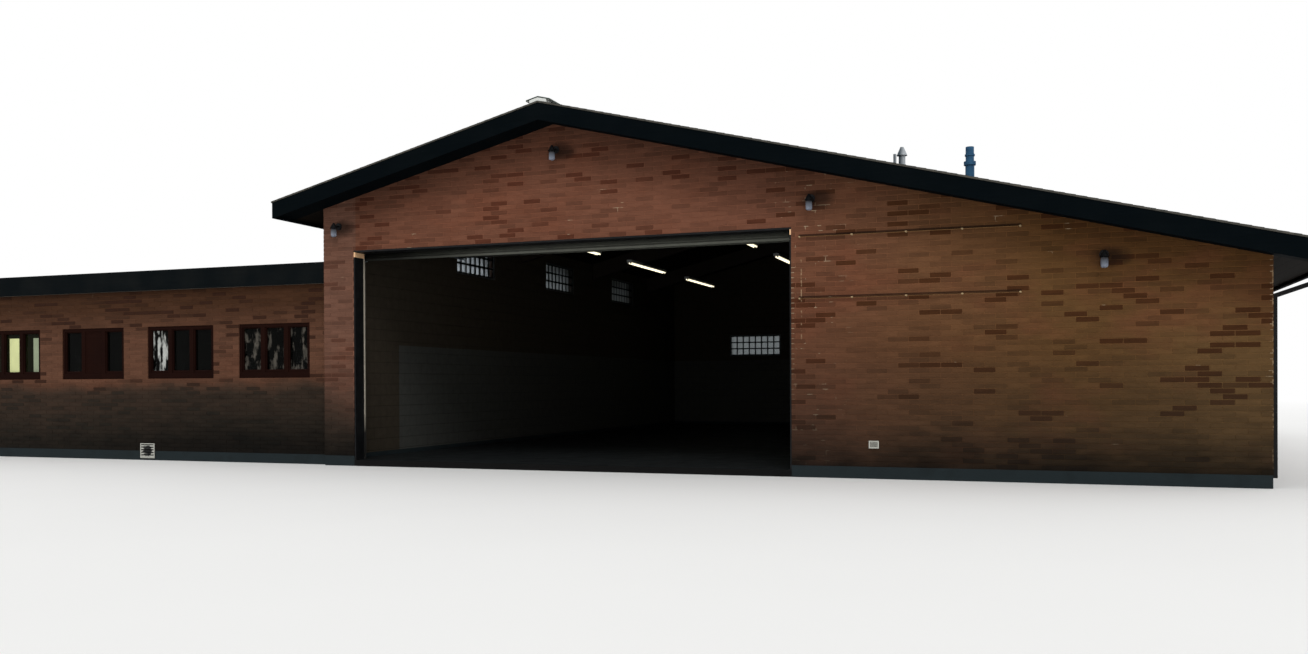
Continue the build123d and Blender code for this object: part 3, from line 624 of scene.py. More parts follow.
def make_window_glass():
    """Old dusty panes: painted reflections next to the bay, a pale patch and two strips of painted daylight
    farther on, clear behind.
    """
    finish = Finish("dusty window glass", roughness=0.08, ior=1.1)
    patched_window, daylit_window = windows_from_bay[pale_patch_in], windows_from_bay[daylight_in]
    x, z = finish.x, finish.z
    on_front = finish.y < front_y + wall_depth
    behind = (x < wing_low.x + wall_depth).most(finish.y > wing_rear_y - wall_depth)
    up = (z - daylit_window[0].z) / (daylit_window[1].z - daylit_window[0].z)
    dust = finish.noise(2.6, 5)

    # Painted reflections on the panes next to the bay
    painted_reflection = finish.noise(5.5, 5, finish.stretched(1.4, 1, 0.6)) - (up - 0.4).absolute() * 0.08
    painted_reflection = finish.steps(painted_reflection, 0.50, 0.60) * (x > patched_window[1].x) * on_front
    reflection_colour = finish.mottled(9, 5, (14, 18, 13), (104, 98, 90))

    # A pale patch in the left lite of the next window
    from_side = x - patched_window[0].x - wing_frame_side
    pale_patch = finish.steps(finish.noise(4, 3, finish.stretched(2.6, 1, 0.7)), 0.46, 0.56)
    pale_patch = pale_patch * from_side.within(0, pale_patch_width) * on_front
    patch_colour = finish.mottled(6, 4, (120, 122, 118), (226, 227, 222))

    # Two strips of painted daylight, seen through the room, in a window farther on
    from_right = daylit_window[1].x - x
    in_daylit_window = x.within(daylit_window[0].x, daylit_window[1].x) * on_front
    wide_strip, thin_strip = (from_right.near(*strip_span) for strip_span in daylight_strips)
    painted_daylight = wide_strip.most(thin_strip) * up.within(0.15, 0.84) * in_daylit_window
    strip_colours = finish.mix(thin_strip, paint(214, 219, 160), paint(144, 154, 128))
    daylight_colour = finish.shade(strip_colours, dust * 0.3 + 0.85)

    colour = finish.mix(dust, paint(2, 2, 2), paint(7, 8, 6))
    colour = finish.mix(in_daylit_window, colour, paint(18, 20, 8))
    colour = finish.mix(painted_reflection, colour, reflection_colour)
    colour = finish.mix(pale_patch, colour, patch_colour)
    colour = finish.mix(painted_daylight, colour, daylight_colour)
    finish.feed("Alpha", (dust * 0.05 + 0.945) * (1 - behind * 0.84))
    return finish.coated(finish.mix(behind, colour, paint(150, 156, 120)), finish.noise(3.4, 2), 0.004)


def make_pipe_metal():
    """Galvanised roof pipes, with painted shade down their left sides."""
    finish = Finish("sooty pipe metal", roughness=0.55, specular_ior_level=0.2)
    clean_and_lit = 0
    ragged_x = finish.x + (finish.noise(30, 3) - 0.5) * 0.01
    for low, high in solids_of("vent_pipes"):
        middle, half = (low.x + high.x) / 2, (high.x - low.x) / 2
        here = finish.x.near(middle, half + 0.005)
        # Each pipe's lit right side; the rest of it is painted shade
        clean_and_lit = clean_and_lit + here * finish.steps(ragged_x, middle - half * 0.3, middle + half * 0.4)
    pale = finish.mottled(9, 5, (150, 156, 161), (188, 193, 197))
    return finish.coated(finish.mix(clean_and_lit, paint(64, 76, 84), pale), finish.noise(150, 4), 0.0006)


def make_grille_metal():
    """White grilles with painted shade in their hollows, and a blot of it in the middle of the wing's."""
    finish = Finish("sooty white grille", roughness=0.55, specular_ior_level=0.2)
    (wing_grille, wing_grille_top), (bay_grille, _) = solids_of("wall_grilles")
    by_wing = finish.x < left_x
    depth = finish.y - (by_wing * (wing_grille.y - bay_grille.y) + bay_grille.y)
    hollow_shade = finish.steps(depth + (finish.noise(60, 4) - 0.5) * 0.012, 0.006, 0.015)
    middle = (wing_grille + wing_grille_top) / 2
    across, up = finish.x - middle.x, finish.z - middle.z
    spread = (across * across + up * up) / shade_blot ** 2 + (finish.noise(22, 5) - 0.5) * 3
    hollow_shade = hollow_shade.most(finish.steps(spread, 1.3, 0.5) * by_wing)
    white = finish.mottled(25, 5, (158, 158, 150), (196, 196, 188))
    return finish.coated(finish.mix(hollow_shade, white, paint(14, 14, 14)), finish.noise(90, 3), 0.0006)


def make_glass_block():
    """Frosted blocks, darkened towards the back of the bay by painted shade."""
    finish = Finish("glass blocks", roughness=0.55, ior=1.35, transmission_weight=1)
    front_window = min(box[0].y for box in left_high)
    shade_to_rear = finish.steps(finish.y + finish.noise(4, 3) * 0.5, front_window + 1, front_window + 7)
    colour = finish.mix(shade_to_rear, (0.66, 0.73, 0.78, 1), (0.15, 0.165, 0.17, 1))
    return finish.coated(colour, finish.noise(24, 3), 0.004)


def make_jar_glass():
    """Dusty jars, dark at the top where the lamp is and pale at the foot."""
    finish = Finish("lantern glass", roughness=0.3, transmission_weight=0.25, specular_ior_level=0.4)
    dust = finish.noise(30, 4)
    share = 1
    for low, high in solids_of("lantern_glass"):
        here = finish.x.near((low.x + high.x) / 2, 0.3)
        share = share - here * finish.steps(finish.z, low.z + 0.03, high.z - 0.02)
    colour = finish.mix(share, paint(34, 35, 40), paint(132, 140, 156))
    return finish.coated(finish.shade(colour, dust * 0.6 + 0.7), dust, 0.001)


def make_light_body():
    """White trough, and the dark rods over it."""
    finish = Finish("light trough and rods", roughness=0.5, specular_ior_level=0.2)
    rods = finish.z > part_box("light_diffusers")[1].z + light_body_height
    white = finish.mottled(9, 4, (150, 152, 152), (182, 184, 184))
    return finish.coated(finish.mix(rods, white, paint(20, 20, 20)), finish.noise(60, 3), 0.0005)


def make_door_paint():
    """Streaked grey-green paint, darkened by painted shade towards the left end."""
    finish = Finish("grey-green door paint", roughness=0.55, specular_ior_level=0.2)
    # Painted shade over the door, deepest at its left end
    clean_and_lit = finish.steps(finish.x + finish.noise(0.9, 5) * 1.2, doorway_left + 1.2, doorway_left + 3.2)
    colour = finish.mottled(7, 5, (98, 100, 92), (120, 122, 112))
    streaks = finish.noise(3, 6, finish.stretched(0.6, 8, 8))
    colour = finish.shade(colour, (clean_and_lit * 0.68 + 0.10) * (streaks * 0.5 + 0.75))
    return finish.coated(colour, finish.noise(120, 4), 0.0008)


def make_diffuser():
    """Lit plastic with a slightly uneven glow."""
    finish = Finish("lit diffuser", base_color=(0.9, 0.88, 0.8, 1), roughness=0.4, emission_strength=1.6)
    glow = finish.noise(2, 2) * 0.2 + 0.85
    finish.feed("Emission Color", finish.shade(paint(255, 243, 208), glow))
    return finish.material


# The rooms, each reaching a little way into the walls so that its paint covers their inner faces
into_wall = wall_depth * 0.9
bay_inner = (left_x + into_wall, front_y + into_wall), (right_x - into_wall, rear_y - into_wall)
wing_inner = (wing_low.x + into_wall, wing_low.y + into_wall), (left_x + 0.01, wing_rear_y - into_wall)

brick = make_brick()
bay_core = make_wall_core("bay wall core", *bay_inner)
wing_core = make_wall_core("wing wall core", *wing_inner)
# The footing's concrete is kept near black as painted shade at the foot of the walls
footing = make_concrete("dirty concrete", (36, 45, 48), (25, 32, 34), (18, 22, 23))
slab = make_bay_slab()
wing_boards = make_planks("wing floor finish", (74, 62, 48), (54, 44, 35), 0.12, "y")
dark_board = make_board_paint("blue-black board paint", (6, 11, 14), (14, 18, 20), 0.6)
chalky_board = make_board_paint("chalky black board paint", (13, 17, 19), (30, 31, 30), 0.7)
maroon = make_board_paint("maroon window paint", (27, 13, 10), (38, 20, 15), 0.6)
shingle = make_shingle()
gravel_roof = make_gravel_roof()
decking = make_planks("roof decking underside", (38, 33, 27), (25, 21, 17), 0.14, "x")
soffit_boards = make_planks("brown soffit boards", (26, 20, 14), (15, 12, 9), 0.14, "x")
beam_wood = make_timber("laminated beam", (46, 36, 26), (29, 22, 16), (1.5, 20, 20))
# The door head's timber is given a near-white orange, as painted light that lifts it out of the shade under
# the lintel
orange_timber = make_timber("bare orange timber", (255, 212, 166), (238, 186, 138), (14, 2, 14))
black_steel = make_metal("black painted steel", (12, 13, 15), (24, 25, 26), 0, 0.5, 0.15)
grey_steel = make_metal("grey painted steel", (50, 54, 56), (66, 69, 70), 0, 0.45)
galvanised = make_metal("galvanised steel", (134, 140, 146), (108, 113, 118), 0.75, 0.42)
flue_metal = make_metal("weathered flue metal", (50, 92, 124), (32, 66, 96), 0.1, 0.6, 0.15)
pipe_metal = make_pipe_metal()
grille_metal = make_grille_metal()
mill_edge = make_metal("weathered edge metal", (78, 75, 68), (48, 49, 45), 0.2, 0.6, 0.2)
door_paint = make_door_paint()
light_body = make_light_body()
rubber = make_seal()
vent_metal = make_ridge_vent()
wire_metal = make_wire()
window_glass = make_window_glass()
glass_block = make_glass_block()
jar_glass = make_jar_glass()
diffuser = make_diffuser()
block_mortar = make_concrete("block mortar", (46, 48, 50), (34, 36, 38), (26, 27, 28))

cad_finishes = {
    bay_core: (
        "door_pier", "wall_over_door", "front_wall_right", "bay_left_wall", "bay_right_wall", "bay_rear_wall",
    ),
    wing_core: ("wing_front_wall", "wing_rear_wall", "wing_end_wall"),
    footing: ("bay_foundation", "wing_foundation"),
    slab: ("bay_floor",),
    wing_boards: ("wing_floor",),
    dark_board: ("gable_fascias", "eave_fascias", "gable_soffits"),
    chalky_board: ("wing_fascia",),
    soffit_boards: ("eave_soffits",),
    decking: ("roof_deck_left", "roof_deck_right"),
    gravel_roof: ("wing_roof",),
    beam_wood: ("roof_beams",),
    maroon: ("wing_window_frames",),
    window_glass: ("wing_window_glass",),
    glass_block: ("high_window_glass",),
    grey_steel: ("high_window_frames",),
    black_steel: ("door_lintel", "door_jambs", "wall_lanterns", "right_gutter", "right_downspout"),
    vent_metal: ("ridge_vent",),
    wire_metal: ("banner_wires",),
    orange_timber: ("door_head_blocks",),
    rubber: ("door_seals",),
    door_paint: ("overhead_door",),
    galvanised: ("door_hinges", "door_tracks", "door_rollers", "door_spring_shaft"),
    pipe_metal: ("vent_pipes",),
    light_body: ("light_bodies",),
    grille_metal: ("wall_grilles",),
    flue_metal: ("flue",),
    mill_edge: ("roof_edge_trim",),
    diffuser: ("light_diffusers",),
    jar_glass: ("lantern_glass",),
}
for finish, nodes in cad_finishes.items():
    for node in nodes:
        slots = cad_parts[node].material_slots
        if not slots:
            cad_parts[node].data.materials.append(finish)
        for material_slot in slots:
            material_slot.material = finish


def add_piece(name, mesh, finish, slot, *replaced):
    """A finished piece at the origin, which rides on the building."""
    mesh.name = name
    piece = bpy.data.objects.new(name, mesh)
    bpy.context.scene.collection.objects.link(piece)
    if not mesh.materials:
        mesh.materials.append(finish)
    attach(piece, "root")
    if replaced:
        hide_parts(*replaced)
    return piece


def to_mesh(shape):
    """Ends a bmesh as a mesh whose faces point outwards."""
    bmesh.ops.remove_doubles(shape, verts=shape.verts, dist=1e-6)
    bmesh.ops.recalc_face_normals(shape, faces=shape.faces)
    mesh = bpy.data.meshes.new("piece")
    shape.to_mesh(mesh)
    shape.free()
    return mesh


def bar(shape, low, high, bevel=0.0, turn=Matrix()):
    """A straight bar between two corners, with its edges eased."""
    size, middle = Vector(high) - Vector(low), (Vector(high) + Vector(low)) / 2
    place = turn @ Matrix.Translation(middle) @ Matrix.Diagonal((*size, 1))
    made = bmesh.ops.create_cube(shape, size=1, matrix=place)
    if bevel:
        edges = {edge for vertex in made["verts"] for edge in vertex.link_edges}
        bmesh.ops.bevel(shape, geom=list(edges), offset=bevel, segments=1, affect="EDGES", profile=0.5)


def ring(shape, loops, turn=Matrix(), closed=True):
    """Skins a run of like loops of points, as of a mitred frame or a jar."""
    made = [[shape.verts.new(turn @ Vector(point)) for point in loop] for loop in loops]
    pairs = list(zip(made, made[1:] + made[:1] if closed else made[1:]))
    for first, second in pairs:
        count = len(first)
        for i in range(count):
            shape.faces.new((first[i], first[(i + 1) % count], second[(i + 1) % count], second[i]))
    if not closed:
        shape.faces.new(reversed(made[0]))
        shape.faces.new(made[-1])


def make_rows_tree():
    """Geometry Nodes that lay a piece in rows along stretches of wall or roof, cut to fit at their ends."""
    group = bpy.data.node_groups.new("pieces laid in rows", "GeometryNodeTree")
    inputs = (
        ("Stretches", "Geometry"), ("Piece", "Object"), ("Pitch", "Float"), ("Rise", "Float"),
        ("Joint", "Float"), ("Bond", "Float"), ("Bond Start", "Float"), ("Odd Row", "Float"),
        ("Ridge Place", "Float"), ("Ridge Height", "Float"), ("Slope", "Float"),
        ("Unevenness", "Float"), ("Patches", "Float"), ("Seed", "Int"), ("Finish", "Material"),
    )
    for name, kind in inputs:
        group.interface.new_socket(name, in_out="INPUT", socket_type="NodeSocket" + kind)
    group.interface.new_socket("Pieces", in_out="OUTPUT", socket_type="NodeSocketGeometry")
    tree = Tree(group)
    given = group.nodes.new("NodeGroupInput")
    taken = {name: Value(tree, given.outputs[name]) for name, _ in inputs}

    def named(name):
        return tree.node("GeometryNodeInputNamedAttribute", {"data_type": "FLOAT"}, {"Name": name})

    start, stop, first_row, rows = named("start"), named("stop"), named("first_row"), named("rows")
    pitch, joint = taken["Pitch"], taken["Joint"]
    columns = ((stop - start) / pitch).ceil() + 2
    copies = group.nodes.new("GeometryNodeDuplicateElements")
    copies.domain = "POINT"
    group.links.new(taken["Stretches"].socket, copies.inputs["Geometry"])
    group.links.new((columns * rows).socket, copies.inputs["Amount"])
    index = Value(tree, copies.outputs["Duplicate Index"])
    row = ((index + 0.5) / columns).floor()
    column = index - row * columns
    course = first_row + row
    offset = (course + taken["Odd Row"]).wrap(2) * taken["Bond"]
    from_bond = ((start - taken["Bond Start"]) / pitch).floor() - 1
    left_end = taken["Bond Start"] + (from_bond + column + offset) * pitch
    left, right = left_end.most(start), (left_end + pitch - joint).least(stop)
    width, middle = right - left, (left + right) / 2
    low = course * taken["Rise"]
    roof_line = taken["Ridge Height"] - taken["Slope"] * (middle - taken["Ridge Place"]).absolute()
    dropped = (width < shortest_piece).most(low > roof_line)
    copied, spot = Value(tree, copies.outputs["Geometry"]), tree.combine(middle, 0, low)
    placed = tree.node("GeometryNodeSetPosition", sockets={0: copied, "Position": spot})
    kept = tree.node("GeometryNodeDeleteGeometry", {"domain": "POINT"}, {0: placed, "Selection": dropped})
    piece = tree.node("GeometryNodeObjectInfo", sockets={"Object": taken["Piece"]}, output="Geometry")
    uneven = taken["Unevenness"]
    tilt = tree.node(
        "FunctionNodeRandomValue", {"data_type": "FLOAT_VECTOR"},
        {"Min": tree.combine(uneven * -1, uneven * -0.3, uneven * -1),
         "Max": tree.combine(uneven, uneven * 0.3, uneven), "Seed": taken["Seed"] + 7},
    )
    laid = tree.node("GeometryNodeInstanceOnPoints", sockets={
        "Points": kept, "Instance": piece, "Rotation": tilt, "Scale": tree.combine(width, 1, 1)})
    chance = tree.node("FunctionNodeRandomValue", {"data_type": "FLOAT"}, {"Seed": taken["Seed"]}, output=1)
    position = tree.node("GeometryNodeInputPosition")
    patch = tree.node("ShaderNodeTexNoise", sockets={"Vector": position, "Scale": 0.9, "Detail": 3.0})
    tone = chance + (patch - 0.5) * taken["Patches"]
    toned = tree.node(
        "GeometryNodeStoreNamedAttribute", {"data_type": "FLOAT", "domain": "INSTANCE"},
        {"Geometry": laid, "Name": "tone", "Value": tone},
    )
    real = tree.node("GeometryNodeRealizeInstances", sockets={0: toned})
    finished = tree.node("GeometryNodeSetMaterial", sockets={0: real, "Material": taken["Finish"]})
    result = group.nodes.new("NodeGroupOutput")
    group.links.new(finished.socket, result.inputs["Pieces"])
    return group


rows_tree = make_rows_tree()


def lay_rows(piece, stretches, place, **inputs):
    """The plain mesh that the rows tree makes of stretches of (start, stop, first row, rows)."""
    spots = bpy.data.meshes.new("stretches")
    spots.from_pydata([(0, 0, 0)] * len(stretches), [], [])
    for column, name in enumerate(("start", "stop", "first_row", "rows")):
        values = [float(stretch[column]) for stretch in stretches]
        spots.attributes.new(name, "FLOAT", "POINT").data.foreach_set("value", values)
    host = bpy.data.objects.new("rows", spots)
    bpy.context.scene.collection.objects.link(host)
    modifier = host.modifiers.new("rows", "NODES")
    modifier.node_group = rows_tree
    items = rows_tree.interface.items_tree
    sockets = {item.name: item.identifier for item in items if item.in_out == "INPUT"}
    modifier[sockets["Piece"]] = piece
    for name, value in inputs.items():
        modifier[sockets[name.replace("_", " ").title()]] = value
    bpy.context.view_layer.update()
    graph = bpy.context.evaluated_depsgraph_get()
    made = host.evaluated_get(graph)
    mesh = bpy.data.meshes.new_from_object(made, preserve_all_data_layers=True, depsgraph=graph)
    bpy.data.objects.remove(host)
    mesh.transform(place)
    return mesh


def pattern_piece(name, outline):
    """A piece one metre long along X with this outline of (y, z) points, for the rows tree to repeat."""
    shape = bmesh.new()
    ring(shape, [[(x, y, z) for y, z in outline] for x in (-0.5, 0.5)], closed=False)
    piece = bpy.data.objects.new(name, to_mesh(shape))
    bpy.context.scene.collection.objects.link(piece)
    return piece


def turned(quarter_turns, origin):
    """The place of a wall: its own X runs along it and its own -Y looks outwards."""
    return Matrix.Translation(origin) @ Matrix.Rotation(quarter_turns * math.pi / 2, 4, "Z")


def clear_stretches(start, stop, rows, openings):
    """Unbroken stretches of courses clear of the openings, as (start, stop, first row, rows)."""
    stretches, running = [], []
    for row in range(rows[0], rows[1] + 1):
        middle, spans = (row + 0.5) * course_height, [(start, stop)]
        for from_u, to_u, low, high in sorted(openings):
            if low < middle < high and row < rows[1]:
                last = spans.pop()
                spans += [(last[0], from_u), (to_u, last[1])]
        spans = [span for span in spans if span[1] - span[0] > brick_joint] if row < rows[1] else []
        if running and spans == running[2]:
            continue
        if running:
            stretches += [(*span, running[0], row - running[0]) for span in running[2]]
        running = [row, row, spans]
    return stretches


brick_foot, brick_head = brick_joint / 2, course_height - brick_joint / 2
brick_piece = pattern_piece("brick_pattern", [
    (brick_bed, brick_foot), (brick_bed, brick_head),
    (-brick_proud + brick_chamfer, brick_head), (-brick_proud, brick_head - brick_chamfer),
    (-brick_proud, brick_foot + brick_chamfer), (-brick_proud + brick_chamfer, brick_foot),
])


def openings_on(wall, boxes):
    """Openings in a wall's own measures, each as (start, stop, low, high) over the bay floor."""
    openings = []
    for low, high in boxes:
        near, far = wall.inverted() @ low, wall.inverted() @ high
        openings.append((min(near.x, far.x), max(near.x, far.x), low.z - floor_z, high.z - floor_z))
    return openings


def lay_bricks(name, wall, length, height, openings, odd_row, seed, ridge=None, ends=(0, 0), patches=1.0):
    """A wall's bricks, along its own X and up from one course over the floor.

    Under a gable, ridge is the place of its peak. ends is how far the bricks pass the wall's two ends,
    and patches how strongly dark and light bricks gather.
    """
    start, stop = -ends[0], length + ends[1]
    pitch = (stop - start + brick_joint) / round((stop - start) / brick_length)
    top_row = math.ceil((height - floor_z) / course_height - 0.01)
    peak = height - floor_z if ridge is None else soffit_peak - floor_z
    mesh = lay_rows(
        brick_piece, clear_stretches(start, stop, (1, top_row), openings), wall,
        pitch=pitch, rise=course_height, joint=brick_joint,
        bond=0.5, bond_start=start, odd_row=float(odd_row),
        ridge_place=ridge or 0.0, ridge_height=peak, slope=0.0 if ridge is None else roof_slope,
        unevenness=brick_unevenness, patches=patches, seed=seed, finish=brick,
    )
    return add_piece(name, mesh, brick, "brick")


bay_length, wing_length, wing_width = rear_y - front_y, left_x - wing_low.x, wing_rear_y - wing_low.y
gable_width = right_x - left_x
eave_soffit_right = soffit_peak - roof_slope * (right_x - ridge_x)
eave_soffit_left = soffit_peak - roof_slope * (ridge_x - left_x)

front_wall = turned(0, (left_x, front_y, floor_z))
right_wall = turned(1, (right_x, front_y, floor_z))
rear_wall = turned(2, (right_x, rear_y, floor_z))
left_wall = turned(3, (left_x, rear_y, floor_z))
wing_front = turned(0, (wing_low.x, wing_low.y, floor_z))
wing_rear = turned(2, (left_x, wing_rear_y, floor_z))
wing_end = turned(3, (wing_low.x, wing_rear_y, floor_z))

doorway = (doorway_left - left_x, doorway_right - left_x, -1, doorway_head - floor_z)
behind_wing = (rear_y - wing_rear_y, rear_y - wing_low.y, -1, wing_top - floor_z)
ridge_from_left = ridge_x - left_x
front_patches = 1.5
corner_ends = (brick_proud, brick_proud)
lay_bricks("front_gable_bricks", front_wall, gable_width, boards_high.z,
           [doorway], 0, 11, ridge_from_left, corner_ends, front_patches)
lay_bricks("rear_gable_bricks", rear_wall, gable_width, boards_high.z,
           openings_on(rear_wall, rear_high), 0, 12, gable_width - ridge_from_left, corner_ends)
lay_bricks("right_wall_bricks", right_wall, bay_length, eave_soffit_right,
           openings_on(right_wall, right_high), 1, 13)
lay_bricks("left_wall_bricks", left_wall, bay_length, eave_soffit_left,
           [behind_wing] + openings_on(left_wall, left_high), 1, 14)
lay_bricks("wing_front_bricks", wing_front, wing_length, wing_high.z,
           openings_on(wing_front, front_wing_windows), 0, 15, None, (brick_proud, 0), front_patches)
lay_bricks("wing_rear_bricks", wing_rear, wing_length, wing_high.z,
           openings_on(wing_rear, rear_wing_windows), 0, 16, None, (0, brick_proud))
lay_bricks("wing_end_bricks", wing_end, wing_width, wing_high.z,
           openings_on(wing_end, end_wing_windows), 1, 17)

# Shingles on both slopes, from the eaves up to the ridge vent
slope_angle = math.atan(roof_slope)
roof_y = (boards_low.y, boards_high.y)
shingle_piece = pattern_piece("shingle_pattern", [
    (0.0, 0.0), (0.0, shingle_exposure + shingle_cover),
    (-0.001, shingle_exposure + shingle_cover), (-shingle_butt, 0.0),
])


def lay_shingles(name, eave_x, side, seed):
    """One slope; side is -1 for the left one and 1 for the right one."""
    eave_z = boards_high.z - roof_slope * abs(eave_x - ridge_x)
    up_slope = Vector((-side * math.cos(slope_angle), 0, math.sin(slope_angle)))
    normal = Vector((side * math.sin(slope_angle), 0, math.cos(slope_angle)))
    along = Vector((0, side, 0))
    origin = Vector((eave_x, roof_y[0] if side > 0 else roof_y[1], eave_z))
    place = Matrix.Translation(origin) @ Matrix((along, -normal, up_slope)).transposed().to_4x4()
    rows = math.floor(abs(eave_x - ridge_x) / math.cos(slope_angle) / shingle_exposure)
    mesh = lay_rows(
        shingle_piece, [(0, roof_y[1] - roof_y[0], 0, rows)], place,
        pitch=shingle_length, rise=shingle_exposure, joint=shingle_joint,
        bond=0.5, bond_start=0.0, odd_row=0.0,
        ridge_place=0.0, ridge_height=no_ridge, slope=0.0,
        unevenness=shingle_unevenness, patches=shingle_patches, seed=seed, finish=shingle,
    )
    return add_piece(name, mesh, shingle, "roofing")


lay_shingles("left_slope_shingles", boards_low.x, -1, 21)
lay_shingles("right_slope_shingles", boards_high.x, 1, 22)


def make_glass_blocks():
    """Blocks with a pillowed face and eased edges, and the grid of mortar between them."""
    blocks, grid = bmesh.new(), bmesh.new()
    for low, high in solids_of("high_window_glass"):
        flat = 0 if high.x - low.x < high.y - low.y else 1
        length_axis = 1 - flat
        length, height = high[length_axis] - low[length_axis], high.z - low.z
        cell = (length / block_columns, height / block_rows)
        for column in range(block_columns):
            for row in range(block_rows):
                add_block(blocks, low, high, flat, column, row, cell)
        thin = (high[flat] - low[flat]) * block_joint_recess
        for i in range(block_columns + 1):
            add_joint(grid, low, high, flat, length_axis, low[length_axis] + i * cell[0], thin)
        for i in range(block_rows + 1):
            add_joint(grid, low, high, flat, 2, low.z + i * cell[1], thin)
    add_piece("high_window_blocks", to_mesh(blocks), glass_block, "glass_block", "high_window_glass")
    add_piece("high_window_joints", to_mesh(grid), block_mortar, "concrete")


def add_joint(grid, low, high, flat, across, place, thin):
    """A strip of mortar across the panel at one place, kept inside the panel."""
    near, far = low.copy(), high.copy()
    near[flat] += thin
    far[flat] -= thin
    near[across] = max(low[across], place - block_joint / 2)
    far[across] = min(high[across], place + block_joint / 2)
    bar(grid, near, far)


def add_block(blocks, low, high, flat, column, row, cell):
    """One glass block: rings from the middle of one face round its edge to the middle of the other."""
    along = Vector((0, 1, 0)) if flat == 0 else Vector((1, 0, 0))
    out = Vector((1, 0, 0)) if flat == 0 else Vector((0, 1, 0))
    centre = low + along * ((column + 0.5) * cell[0]) + Vector((0, 0, (row + 0.5) * cell[1]))
    centre += out * ((high - low)[flat] / 2)
    half, depth = (min(cell) - block_joint) / 2, (high - low)[flat] / 2
    loops = []
    for share, height in block_rings:
        size = half * share
        loops.append([
            centre + out * (depth * height) + along * (size * a) + Vector((0, 0, size * b))
            for a, b in ((-1, -1), (1, -1), (1, 1), (-1, 1))
        ])
    ring(blocks, loops, closed=False)


make_glass_blocks()


def window_place(box, quarter_turns):
    """The place of a window: its own X along the wall from its left side, -Y outwards, Z from its foot."""
    low, high = box
    corners = {0: (low.x, low.y), 2: (high.x, high.y), 3: (low.x, high.y)}
    return turned(quarter_turns, (*corners[quarter_turns], low.z))


def frame_loops(x, z, widths, y):
    """The four corner points of the loops of a mitred frame, from its outer edge in and round its back."""
    side, foot, head = widths
    def loop(inset, depth):
        left, right = x[0] + side * inset, x[1] - side * inset
        bottom, top = z[0] + foot * inset, z[1] - head * inset
        return [(left, depth, bottom), (right, depth, bottom), (right, depth, top), (left, depth, top)]

    front = [loop(0, y[0]), loop(sash_shoulder, y[0]), loop(1, y[0] + sash_bevel)]
    return front + [loop(1, y[1]), loop(0, y[1])]


def make_sashes():
    """A sash in each lite of the wing's windows, and the blank panel that fills one lite."""
    sashes, blanks = bmesh.new(), bmesh.new()
    placed = [(box, 0) for box in front_wing_windows] + [(box, 2) for box in rear_wing_windows]
    placed += [(box, 3) for box in end_wing_windows]
    for box, quarter_turns in placed:
        place = window_place(box, quarter_turns)
        size = box[1] - box[0]
        width = max(size.x, size.y)
        lite = (width - 2 * wing_frame_side - (wing_lites - 1) * wing_mullion) / wing_lites
        z = (wing_frame_bottom, size.z - wing_frame_side)
        for i in range(wing_lites):
            left = wing_frame_side + i * (lite + wing_mullion)
            if box is windows_from_bay[blank_in] and i == 1:
                border = frame_loops((left, left + lite), z, (blank_border,) * 3, blank_depth)
                ring(blanks, border, place)
                near = (left + blank_overlap, blank_face[0], z[0] + blank_overlap)
                far = (left + lite - blank_overlap, blank_face[1], z[1] - blank_overlap)
                bar(blanks, near, far, small_bevel, place)
                continue
            widths = (sash_stile, sash_bottom, sash_stile)
            ring(sashes, frame_loops((left, left + lite), z, widths, sash_depth), place)
    add_piece("wing_window_sashes", to_mesh(sashes), maroon, "window_frame")
    add_piece("blank_window_panel", to_mesh(blanks), maroon, "window_frame")


make_sashes()


def make_light_tubes():
    """Two tubes and their holders in the place of each light's diffuser."""
    tubes, holders = bmesh.new(), bmesh.new()
    angles = [i * 2 * math.pi / tube_sides for i in range(tube_sides)]
    for low, high in solids_of("light_diffusers"):
        middle = (low.x + high.x) / 2
        z = high.z - tube_radius - tube_gap
        for side in (-1, 1):
            x = middle + side * ((high.x - low.x) / 2 - tube_radius)
            rim = [(x + tube_radius * math.cos(angle), z + tube_radius * math.sin(angle)) for angle in angles]
            ends = (low.y + tube_holder / 2, high.y - tube_holder / 2)
            ring(tubes, [[(u, y, v) for u, v in rim] for y in ends], closed=False)
            for y in (low.y, high.y - tube_holder):
                near = (x - tube_radius, y, z - tube_radius - tube_gap)
                bar(holders, near, (x + tube_radius, y + tube_holder, high.z), small_bevel)
    add_piece("light_tubes", to_mesh(tubes), diffuser, "lit_diffuser", "light_diffusers")
    add_piece("tube_holders", to_mesh(holders), light_body, "white_metal")


make_light_tubes()


def make_lantern_jars():
    """Fluted jars: rings of points whose radius swings once for each flute."""
    jars = bmesh.new()
    angles = [i * 2 * math.pi / (jar_flutes * 4) for i in range(jar_flutes * 4)]
    for low, high in solids_of("lantern_glass"):
        centre, radius, height = (low + high) / 2, (high.x - low.x) / 2, high.z - low.z
        loops = []
        for share, up in jar_rings:
            loop = []
            for angle in angles:
                reach = radius * share * (1 - flute_depth * (1 - math.cos(angle * jar_flutes)))
                across, along = reach * math.cos(angle), reach * math.sin(angle)
                loop.append((centre.x + across, centre.y + along, low.z + height * up))
            loops.append(loop)
        ring(jars, loops, closed=False)
    add_piece("lantern_jars", to_mesh(jars), jar_glass, "lantern_glass", "lantern_glass")


make_lantern_jars()

for pattern in (brick_piece, shingle_piece):
    bpy.data.objects.remove(pattern)

